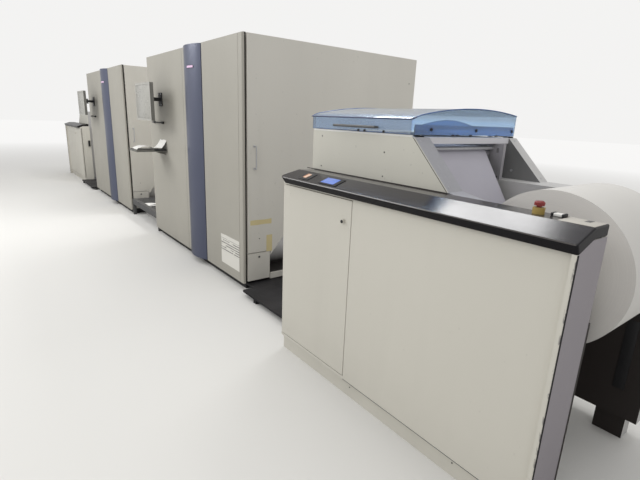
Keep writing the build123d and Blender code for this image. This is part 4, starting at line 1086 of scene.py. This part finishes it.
def dress_shelf():
    """Curled loose sheets on the shelf, one leaning on the tower, and a clip."""
    lo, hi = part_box("paper_shelf")
    floor_z = hi.z - SHELF_RIM + 0.0008
    middle = (lo.x + hi.x) / 2
    piles = [(middle, lo.y + 0.152, floor_z), (middle, lo.y + 0.19, floor_z + 0.001)]
    looks = {"Count": bpy.context.scene.press_sizes.sheets, "Size": (0.24, 0.20, 0), "Rise": 0.0020}
    grow("shelf_papers", "sheets", piles, *PAPER, smooth=False, **looks, Curl=0.018, Seed=4)

    def arched(i, j):
        share = i / 12
        z = floor_z + 0.020 + 0.034 * math.sin(math.pi * share) ** 0.8
        return lo.x + 0.03 + 0.21 * j / 6, lo.y + 0.022 + 0.21 * share, z + 0.003 * math.sin(j)

    def leaning(i, j):
        share = i / 6
        y = hi.y - 0.10 + 0.095 * share
        z = floor_z + 0.022 + 0.105 * share ** 1.7
        return hi.x - 0.22 + 0.20 * j / 5, y - 0.008 * math.sin(j), z + 0.004 * math.cos(2 * j)

    bent_sheet("arched_paper", 13, 7, arched, 0.0006)
    bent_sheet("leaning_paper", 7, 6, leaning, 0.0006)
    clip = ((hi.x - 0.016, lo.y + 0.2, hi.z - 0.012), (hi.x + 0.003, hi.y - 0.01, hi.z + 0.006), 0.002)
    blocks("shelf_end_clip", [clip], *BLACK)


# Console and control top
def on_slope(u, y):
    """A matrix that stands pieces on the control top's slope, X along it and Z out of it."""
    share = (y - NOSE_Y) / (RIDGE_Y - NOSE_Y)
    z = NOSE_TOP_Z + share * (RIDGE_Z - NOSE_TOP_Z)
    tilt = math.atan2(RIDGE_Z - NOSE_TOP_Z, RIDGE_Y - NOSE_Y)
    return Matrix.Translation(on_unit(u, y, z)) @ Matrix.Rotation(tilt, 4, "X")


def on_ridge(u, y, rise=0.0, place=on_unit):
    return place(u, y, RIDGE_Z + rise)


def dress_console():
    """Knob, screws, joints and corner trim of the unwinder's console and the rewinder's."""
    centre = Vector((UNIT_START + KNOB_U, DOOR_FRONT_Y - 0.014, KNOB_Z))
    knob = Shape().rod(centre - Vector((0, 0.003, 0)), centre + Vector((0, 0.001, 0)), 0.009, 28, 0.001)
    knob.done("console_knob_cap", *BLACK, "unwinder_door")
    panel = [on_unit(u, KICK_Y, z) for u, z in PANEL_SCREWS]
    screws("console_panel_screws", panel, (0, -1, 0), "dark_steel", Radius=0.004, Height=0.0015)
    door = [Vector((UNIT_START + u, DOOR_FRONT_Y, z)) for u, z in DOOR_SCREWS]
    sizes = {"Radius": 0.004, "Height": 0.001}
    screws("console_door_screws", door, (0, -1, 0), "console", body="unwinder_door", **sizes)
    for name, place in (("console", on_unit), ("rewinder_console", on_rewinder)):
        groove = (place(1.7585, -0.2564, 0.004), place(1.7605, -0.255, 1.158), 0.0)
        blocks(name + "_panel_joint", [groove], "strip", "dark_frame", smooth=False)
        trim = [place(END_PANEL_U[1], -0.280, z) for z in (0.006, 1.165)]
        bead(name + "_corner_trim", trim, "plinth", "dark_frame", 0.0028)
        kick = [place(u, -0.2565, 0.101) for u in (0.662, 1.757)]
        bead(name + "_kick_edge", kick, "dark_steel", "dark_frame", 0.0014)


def dress_control_top():
    """Display, lamp button, holder, slotted strip and the dark seal behind the ridge."""
    display = on_slope(DISPLAY_U, SLOPE_MIDDLE_Y)
    lamp = on_slope(LAMP_BUTTON_U, SLOPE_MIDDLE_Y)
    for name, look, turn, *size in (
        ("display_bezel", BLACK, display, (-0.072, -0.040, 0.0), (0.080, 0.042, 0.0035), 0.0015),
        ("display_glass", ("display", "screen_grey"), display,
         (-0.060, -0.029, 0.0030), (0.050, 0.031, 0.0045), 0.0006),
        ("button_plate", BLACK, lamp, (-0.045, -0.038, 0.0), (0.045, 0.040, 0.0030), 0.0014),
        ("lamp_button", ("button", "warm_white"), lamp,
         (-0.016, -0.022, 0.0026), (0.012, 0.024, 0.0085), 0.0022, 3),
        ("lamp_button_mark", ("amber", "yellow"), lamp,
         (-0.0165, -0.021, 0.0060), (-0.009, 0.023, 0.0094), 0.0014),
    ):
        blocks(name, [size], *look, turn=turn)
    holder = (on_ridge(HOLDER_U, -0.122), on_ridge(HOLDER_U + 0.040, -0.094, 0.011), 0.003, 3)
    blocks("ridge_holder", [holder], "paper", "warm_white")
    starts = (HOLDER_U - 0.005, HOLDER_U + 0.035)
    ends = [(on_ridge(u, -0.125), on_ridge(u + 0.010, -0.091, 0.013), 0.003) for u in starts]
    blocks("ridge_holder_ends", ends, *BLACK)
    strip = (on_ridge(1.652, -0.181), on_ridge(1.774, -0.080, 0.0012), 0.0004)
    blocks("ridge_strip", [strip], "strip", "light_grey")
    slot = (on_ridge(1.716, -0.120, 0.001), on_ridge(1.736, -0.084, 0.0016), 0.0002)
    blocks("ridge_strip_slot", [slot], "dark_steel", "dark_frame")
    for name, place in (("ridge_seal", on_unit), ("rewinder_ridge_seal", on_rewinder)):
        seal = (on_ridge(0.006, -0.0835, -0.0005, place), on_ridge(1.105, -0.0795, 0.0048, place), 0.0005)
        blocks(name, [seal], "joint", "black_metal")


# Clear cover
def dress_cover():
    """Dense edges, deep blue band, screws, clips, stops and seal of the clear cover."""
    sizes = bpy.context.scene.press_sizes
    rim_r = sizes.rim_r
    lip_u, start_u, end_u = COVER_U
    corner_u = end_u - COVER_CORNER_R
    near_bend = COVER_NEAR_Y + COVER_CORNER_R
    far_bend = COVER_FAR_TOP[0] - COVER_CORNER_R
    low_z = COVER_SEAT_Z + rim_r
    inset = COVER_CORNER_R * (1 - math.sqrt(0.5)) + rim_r
    near_y = COVER_NEAR_Y + inset
    far_y = COVER_FAR_TOP[0] - inset
    turns = [math.radians(15 * i) for i in range(7)]
    quarter = [(COVER_CORNER_R * math.sin(turn), COVER_CORNER_R * math.cos(turn)) for turn in turns]
    near = [(lip_u, COVER_NEAR_Y)] + [(corner_u + s, near_bend - c) for s, c in quarter]
    arch = [(end_u, y) for y in spread(near_bend, far_bend, 32)[:-1]]
    arch += [(corner_u + c, far_bend + s) for s, c in quarter]
    lip = [(lip_u + rim_r, y) for y in spread(COVER_NEAR_Y, COVER_FAR_TOP[0], 36)]

    def over(path):
        return [on_unit(u, y, vault_z(y)) for u, y in path]

    def upright(u, y, top_z):
        return [on_unit(u, y, z) for z in (low_z, top_z)]

    foot = [on_unit(u, COVER_NEAR_Y + rim_r, low_z) for u in (start_u + COVER_CORNER_R, corner_u)]
    hump = [(y / 100, COVER_BAND_TOP + BAND_HUMP * math.sin(math.pi * y / 42)) for y in range(0, 43, 3)]
    for part, finish, radius, line in (
        ("near_edge", "cover_edge", sizes.edge_r, over(near)),
        ("end_edge", "cover_rim", rim_r, over(arch)),
        ("lip_edge", "cover_rim", rim_r, over(lip)),
        ("corner_edge", "cover_edge", rim_r, upright(start_u + inset, near_y, COVER_CORNER_TOP)),
        ("far_corner_edge", "cover_rim", rim_r, upright(end_u - inset, far_y, vault_z(far_y) - rim_r)),
        ("foot_edge", "cover_rim", rim_r, foot),
    ):
        bead(f"cover_{part}", line, finish, "blue_clear", radius, "infeed_cover")

    band = (on_unit(end_u - 0.0100, near_bend + 0.002, COVER_SEAT_Z + 0.001),
            on_unit(end_u - 0.0084, far_bend - 0.002, COVER_SEAT_Z + 0.049), 0.0004)
    blocks("cover_band_face", [band], "cover_band", "blue_clear", "infeed_cover")
    rows = [[on_unit(end_u - 0.0100, y, COVER_BAND_TOP - 0.002) for y, z in hump],
            [on_unit(end_u - 0.0100, y, z) for y, z in hump]]
    Shape().sheet(rows, 0.0012).done("cover_band_hump", "cover_band", "blue_clear", "infeed_cover")
    inner = [on_unit(end_u - 0.0105, y, z) for y, z in (*hump, (far_bend, COVER_BAND_TOP))]
    bead("cover_band_edge", inner, "cover_rim", "blue_clear", rim_r / 2, "infeed_cover")
    bolts = [on_unit(end_u, y, COVER_SCREWS_Z) for y in COVER_SCREWS_Y]
    screws("cover_band_screws", bolts, (1, 0, 0), *BLACK, "infeed_cover", Radius=0.009)
    knobs = [on_unit(u, COVER_NEAR_Y, COVER_KNOBS_Z) for u in COVER_KNOBS_U]
    screws("cover_foot_screws", knobs, (0, -1, 0), *BLACK, "infeed_cover", Height=0.006)
    clips = [
        (on_unit(end_u - 0.009, y - 0.010, COVER_SEAT_Z - 0.005),
         on_unit(end_u + 0.001, y + 0.010, COVER_SEAT_Z + 0.004), 0.0015)
        for y in COVER_CLIPS_Y
    ]
    blocks("cover_foot_clips", clips, *BLACK, "infeed_cover")
    under_z, over_z = SEAL_Z
    seal = (on_unit(0.062, -0.0795, under_z), on_unit(0.862, -0.0700, over_z), 0.001)
    blocks("cover_seal", [seal], "paper", "warm_white")
    stops = [
        (on_unit(0.835, y, under_z), on_unit(0.858, y + 0.022, over_z), 0.002) for y in COVER_STOPS_Y
    ]
    blocks("cover_stops", stops, *BLACK)


# Frames and paper
def core_ends(name, place, body):
    """Both ends of a roll's core tube, standing a little proud of the paper."""
    core = Shape()
    mesh = core.mesh
    inner, outer = CORE_R
    for y, way in CORE_ENDS:
        centre = place(ROLL_U, y, ROLL_Z)
        angles = [2 * math.pi * i / CORE_SIDES for i in range(CORE_SIDES + 1)]
        for a0, a1 in zip(angles, angles[1:]):
            corners = [
                centre + Vector((radius * math.cos(angle), 0, radius * math.sin(angle)))
                for angle, radius in ((a0, inner), (a1, inner), (a1, outer), (a0, outer))
            ]
            face = [mesh.verts.new(corner + Vector((0, way * CORE_PROUD, 0))) for corner in corners]
            base = [mesh.verts.new(corner) for corner in corners]
            mesh.faces.new(face)
            mesh.faces.new(base[::-1])
            for k in (0, 2):
                mesh.faces.new((face[k], base[k], base[(k + 1) % 4], face[(k + 1) % 4]))
    bmesh.ops.remove_doubles(mesh, verts=mesh.verts, dist=1e-6)
    core.done(name, "tape", "paper", body)


def dress_frames():
    """Screws of the frames, roller caps, core ends and the far frame's service plate."""
    for name, y, spots, look in (
        ("side_panel_screws", -0.080, ((0.687, 1.399), (0.151, 1.274), (0.151, 1.455), (0.687, 1.274)),
         {"finish": "dark_steel", "Radius": 0.0042, "Height": 0.0014}),
        ("far_wall_screws", FAR_WALL_Y, ((0.80, 1.34), (0.92, 1.30)), {"Radius": 0.008}),
        ("roller_plate_screws", 0.655, ((0.900, 1.264), (0.60, 1.28), (0.30, 1.28), (0.165, 1.28)),
         {"finish": "dark_steel", "Radius": 0.007}),
    ):
        screws(name, [on_unit(u, y, z) for u, z in spots], (0, -1, 0), **look)
    tilt = Vector((math.sin(SLANT_ANGLE), 0, math.cos(SLANT_ANGLE)))
    slant = [(u, y, z) for u, z in ((0.890, 1.468), (1.085, 1.269)) for y in (-0.045, 0.815)]
    spots = [on_unit(*spot) + tilt * 0.0002 for spot in slant]
    screws("slant_screws", spots, tilt, Radius=0.0055, Height=0.002)
    for name, place, roll, infeed in (
        ("unwinder", on_unit, "unwinder_roll", "infeed_roller"),
        ("rewinder", on_rewinder, "machine", "machine"),
    ):
        line = [place(0.8745, -0.0802, 1.484), place(1.1035, -0.0802, 1.252)]
        bead(name + "_side_panel_edge", line, "plinth", "dark_frame", 0.0014)
        core_ends(name + "_core_ends", place, roll)
        for roller, u, body in (("infeed", 0.800, infeed), ("turn", 0.200, "machine")):
            caps = Shape()
            for y0, y1 in ROLLER_CAPS_Y:
                caps.rod(place(u, y0, ROLLER_Z), place(u, y1, ROLLER_Z), ROLLER_CAP_R, 28, 0.0015)
            caps.done(f"{name}_{roller}_roller_caps", "dark_steel", "dark_frame", body)
    service = (on_unit(1.705, 0.6505, 0.300), on_unit(1.758, 0.6555, 0.672), 0.002)
    blocks("far_frame_service_plate", [service], *BLACK)


# Bench, steps and box
def dress_bench():
    """Grating bars in the bench's deck, a slip of paper on it and the black box's lid."""
    lo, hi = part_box("bench")
    pitch = bpy.context.scene.press_sizes.grating_pitch
    count = int((hi.x - lo.x - 0.08) / pitch)
    start = (lo.x + hi.x) / 2 - (count - 1) * pitch / 2
    row = [(start, (lo.y + hi.y) / 2, hi.z - 0.0115)]
    bars = {"Count": count, "Step": (pitch, 0, 0), "Bar": (0.005, hi.y - lo.y - 0.066, 0.020)}
    grow("bench_grating", "bars", row, "dark_steel", "dark_frame", **bars)
    cross = [(lo.x + 0.05, lo.y + 0.10 + 0.075 * i, hi.z - 0.010) for i in range(5)]
    bars = {"Count": 1, "Step": (0, 0, 0), "Bar": (0.01, 0.004, 0.012)}
    grow("bench_cross_bars", "bars", cross, "dark_steel", "dark_frame", **bars)
    lo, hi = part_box("black_box")
    middle = (lo.x + hi.x) / 2
    lid = ((lo.x - 0.002, lo.y - 0.002, hi.z - 0.022), (hi.x + 0.002, hi.y + 0.002, hi.z + 0.002), 0.004, 3)
    grip = ((middle - 0.05, lo.y - 0.007, hi.z - 0.034), (middle + 0.05, lo.y - 0.001, hi.z - 0.018), 0.002)
    blocks("box_lid", [lid, grip], *BLACK)

    def slip(j, i):
        return at(-3.275 + 0.21 * i / 4 + 0.02 * j, 0.075 + 0.148 * j / 3, 0.2465 + 0.004 * math.sin(i + j))

    bent_sheet("bench_paper", 4, 5, slip, 0.0005)


# Studio
def place_camera(studio):
    data = bpy.data.cameras.new("press_camera")
    data.lens = studio.lens
    data.sensor_width = 36.0
    data.clip_end = 200.0
    ahead = Vector((
        -math.sin(studio.yaw) * math.cos(studio.pitch),
        math.cos(studio.yaw) * math.cos(studio.pitch),
        -math.sin(studio.pitch),
    ))
    level = ahead.cross(Vector((0, 0, 1))).normalized()
    above = level.cross(ahead)
    right = level * math.cos(studio.roll) + above * math.sin(studio.roll)
    up = above * math.cos(studio.roll) - level * math.sin(studio.roll)
    turn = Matrix((right, up, -ahead)).transposed().to_4x4()
    camera = linked("press_camera", data)
    camera.matrix_world = Matrix.Translation(LINE_ZERO + Vector(studio.camera)) @ turn
    bpy.context.scene.camera = camera


def place_lamps(studio):
    for name, power, place, target, width, depth in (
        ("ceiling_lamp", studio.ceiling, (1.0, -1.2, 6.2), (1.0, 0.1, 0.0), 13.0, 6.0),
        ("side_lamp", studio.side, (-1.5, -6.0, 4.5), (3.6, -0.9, 0.8), 4.0, 3.0),
        ("sheen_lamp", studio.sheen, (0.78, 2.74, 6.2), (0.78, 2.74, 0.0), 4.7, 1.5),
    ):
        data = bpy.data.lights.new(name, "AREA")
        data.shape = "RECTANGLE"
        data.size = width
        data.size_y = depth
        data.energy = power
        lamp = linked(name, data)
        lamp.matrix_world = Matrix.Translation(place) @ facing_matrix(Vector(place) - Vector(target))


def fill_world(studio):
    """Plain surrounding light: one strength for surfaces, one in reflections and one behind the press."""
    world = bpy.data.worlds.new("press_world")
    world.use_nodes = True
    light = NodeTree(world.node_tree)
    ray = light.add("ShaderNodeLightPath").outputs
    seen = light.maths("MAXIMUM", ray["Is Camera Ray"], ray["Is Transmission Ray"])
    inputs = {"Value": ray["Is Glossy Ray"], "To Min": studio.sky, "To Max": studio.gloss}
    unseen = light.make("ShaderNodeMapRange", inputs)
    inputs = {"Value": seen, "To Min": unseen, "To Max": studio.horizon}
    back = light.tree.nodes["Background"].inputs
    light.feed(back["Strength"], light.make("ShaderNodeMapRange", inputs))
    light.feed(back["Color"], PLAIN_LIGHT)
    bpy.context.scene.world = world


def lay_floor(studio):
    """A pale floor that blends out into the background."""
    ground = bpy.data.meshes.new("studio_floor")
    ground.from_pydata([(-60, -60, 0), (60, -60, 0), (60, 60, 0), (-60, 60, 0)], [], [(0, 1, 2, 3)])
    floor = linked("studio_floor", ground)
    finish = Finish("studio_floor")
    glossy = finish.add("ShaderNodeLightPath").outputs["Is Glossy Ray"]
    near = finish.shades(finish.soft(0.35, 3), studio.floor, 0.985)
    near = finish.blend(glossy, near, shaded(studio.floor, 0.3))
    distance = finish.add("ShaderNodeVectorMath", {0: finish.place}, operation="LENGTH").outputs["Value"]
    away = finish.level(distance, studio.fade, 3 * studio.fade)
    glow = finish.level(away, 0.0, 1.0, 0.0, studio.horizon)
    glow = finish.times(glow, finish.level(glossy, 0.0, 1.0, 1.0, studio.gloss / studio.horizon))
    colours = finish.blend(away, near, shaded(studio.floor, 0.0))
    sockets = {"Emission_Color": PLAIN_LIGHT, "Emission_Strength": glow, "Specular_IOR_Level": 0.2}
    ground.materials.append(finish.surface(colours, 0.7, **sockets))
    floor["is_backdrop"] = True


def build_studio(studio):
    """Camera at the photograph's place, plain surrounding light, soft lamps and a pale floor."""
    place_camera(studio)
    place_lamps(studio)
    fill_world(studio)
    lay_floor(studio)
    bpy.context.scene.view_settings.view_transform = "Standard"


# Operators
class PRESS_OT_prepare(Operator):
    """Make the finishes and the Geometry Nodes trees that every piece uses"""

    bl_idname = "press.prepare"
    bl_label = "Prepare finishes"

    def execute(self, context):
        FINISHES.update(make_finishes(context.scene.press_colours))
        TREES.update(screws=screw_tree(), beads=bead_tree(), bars=bar_tree(), sheets=sheet_tree())
        return {"FINISHED"}


class PRESS_OT_nodes(Operator):
    """Give every CAD node its finish"""

    bl_idname = "press.nodes"
    bl_label = "Finish CAD nodes"

    def execute(self, context):
        finish_nodes()
        return {"FINISHED"}


class PRESS_OT_towers(Operator):
    """Add the towers' lamps, notice, tape, screws, lock keys and handle feet"""

    bl_idname = "press.towers"
    bl_label = "Dress towers"

    def execute(self, context):
        for number in (1, 2):
            dress_tower(number)
        return {"FINISHED"}


class PRESS_OT_screens(Operator):
    """Add the screens' glass and vents, and their cable rails"""

    bl_idname = "press.screens"
    bl_label = "Dress screens"

    def execute(self, context):
        for number in (1, 2):
            dress_screen(number)
        return {"FINISHED"}


class PRESS_OT_shelf(Operator):
    """Add the papers and the clip on the shelf"""

    bl_idname = "press.shelf"
    bl_label = "Dress shelf"

    def execute(self, context):
        dress_shelf()
        return {"FINISHED"}


class PRESS_OT_console(Operator):
    """Add the consoles' knob, screws, joints and trim"""

    bl_idname = "press.console"
    bl_label = "Dress consoles"

    def execute(self, context):
        dress_console()
        return {"FINISHED"}


class PRESS_OT_control_top(Operator):
    """Add the display, button, holder, strip and seal of the control top"""

    bl_idname = "press.control_top"
    bl_label = "Dress control top"

    def execute(self, context):
        dress_control_top()
        return {"FINISHED"}


class PRESS_OT_cover(Operator):
    """Add the clear cover's edges, band, screws and seal"""

    bl_idname = "press.cover"
    bl_label = "Dress cover"

    def execute(self, context):
        dress_cover()
        return {"FINISHED"}


class PRESS_OT_frames(Operator):
    """Add the frames' screws, roller caps, core ends and service plate"""

    bl_idname = "press.frames"
    bl_label = "Dress frames"

    def execute(self, context):
        dress_frames()
        return {"FINISHED"}


class PRESS_OT_bench(Operator):
    """Add the bench's grating and paper, and the box's lid"""

    bl_idname = "press.bench"
    bl_label = "Dress bench"

    def execute(self, context):
        dress_bench()
        return {"FINISHED"}


class PRESS_OT_studio(Operator):
    """Add the camera, lamps, plain light and pale floor"""

    bl_idname = "press.studio"
    bl_label = "Build studio"

    def execute(self, context):
        build_studio(context.scene.press_studio)
        return {"FINISHED"}


STEPS = (
    PRESS_OT_studio,
    PRESS_OT_prepare,
    PRESS_OT_nodes,
    PRESS_OT_towers,
    PRESS_OT_screens,
    PRESS_OT_shelf,
    PRESS_OT_console,
    PRESS_OT_control_top,
    PRESS_OT_cover,
    PRESS_OT_frames,
    PRESS_OT_bench,
)


class PRESS_PT_sidebar(Panel):
    """Steps, sizes and colours of the press"""

    bl_label = "Press"
    bl_idname = "PRESS_PT_sidebar"
    bl_space_type = "VIEW_3D"
    bl_region_type = "UI"
    bl_category = "Press"

    def draw(self, context):
        layout = self.layout
        for step in STEPS:
            layout.operator(step.bl_idname)
        for group in (context.scene.press_sizes, context.scene.press_studio, context.scene.press_colours):
            for name in group.__annotations__:
                layout.prop(group, name)


CLASSES = (PressColours, PressSizes, PressStudio, *STEPS, PRESS_PT_sidebar)


def register():
    for item in CLASSES:
        bpy.utils.register_class(item)
    bpy.types.Scene.press_colours = PointerProperty(type=PressColours)
    bpy.types.Scene.press_sizes = PointerProperty(type=PressSizes)
    bpy.types.Scene.press_studio = PointerProperty(type=PressStudio)


def unregister():
    del bpy.types.Scene.press_studio
    del bpy.types.Scene.press_sizes
    del bpy.types.Scene.press_colours
    for item in reversed(CLASSES):
        bpy.utils.unregister_class(item)


def main():
    register()
    for step in STEPS:
        group, name = step.bl_idname.split(".")
        getattr(getattr(bpy.ops, group), name)()
    boxes = {"cad": CAD_BOX, "visual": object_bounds()}
    {name: [list(corner) for corner in box] for name, box in boxes.items()}


if __name__ == "__main__":
    main()
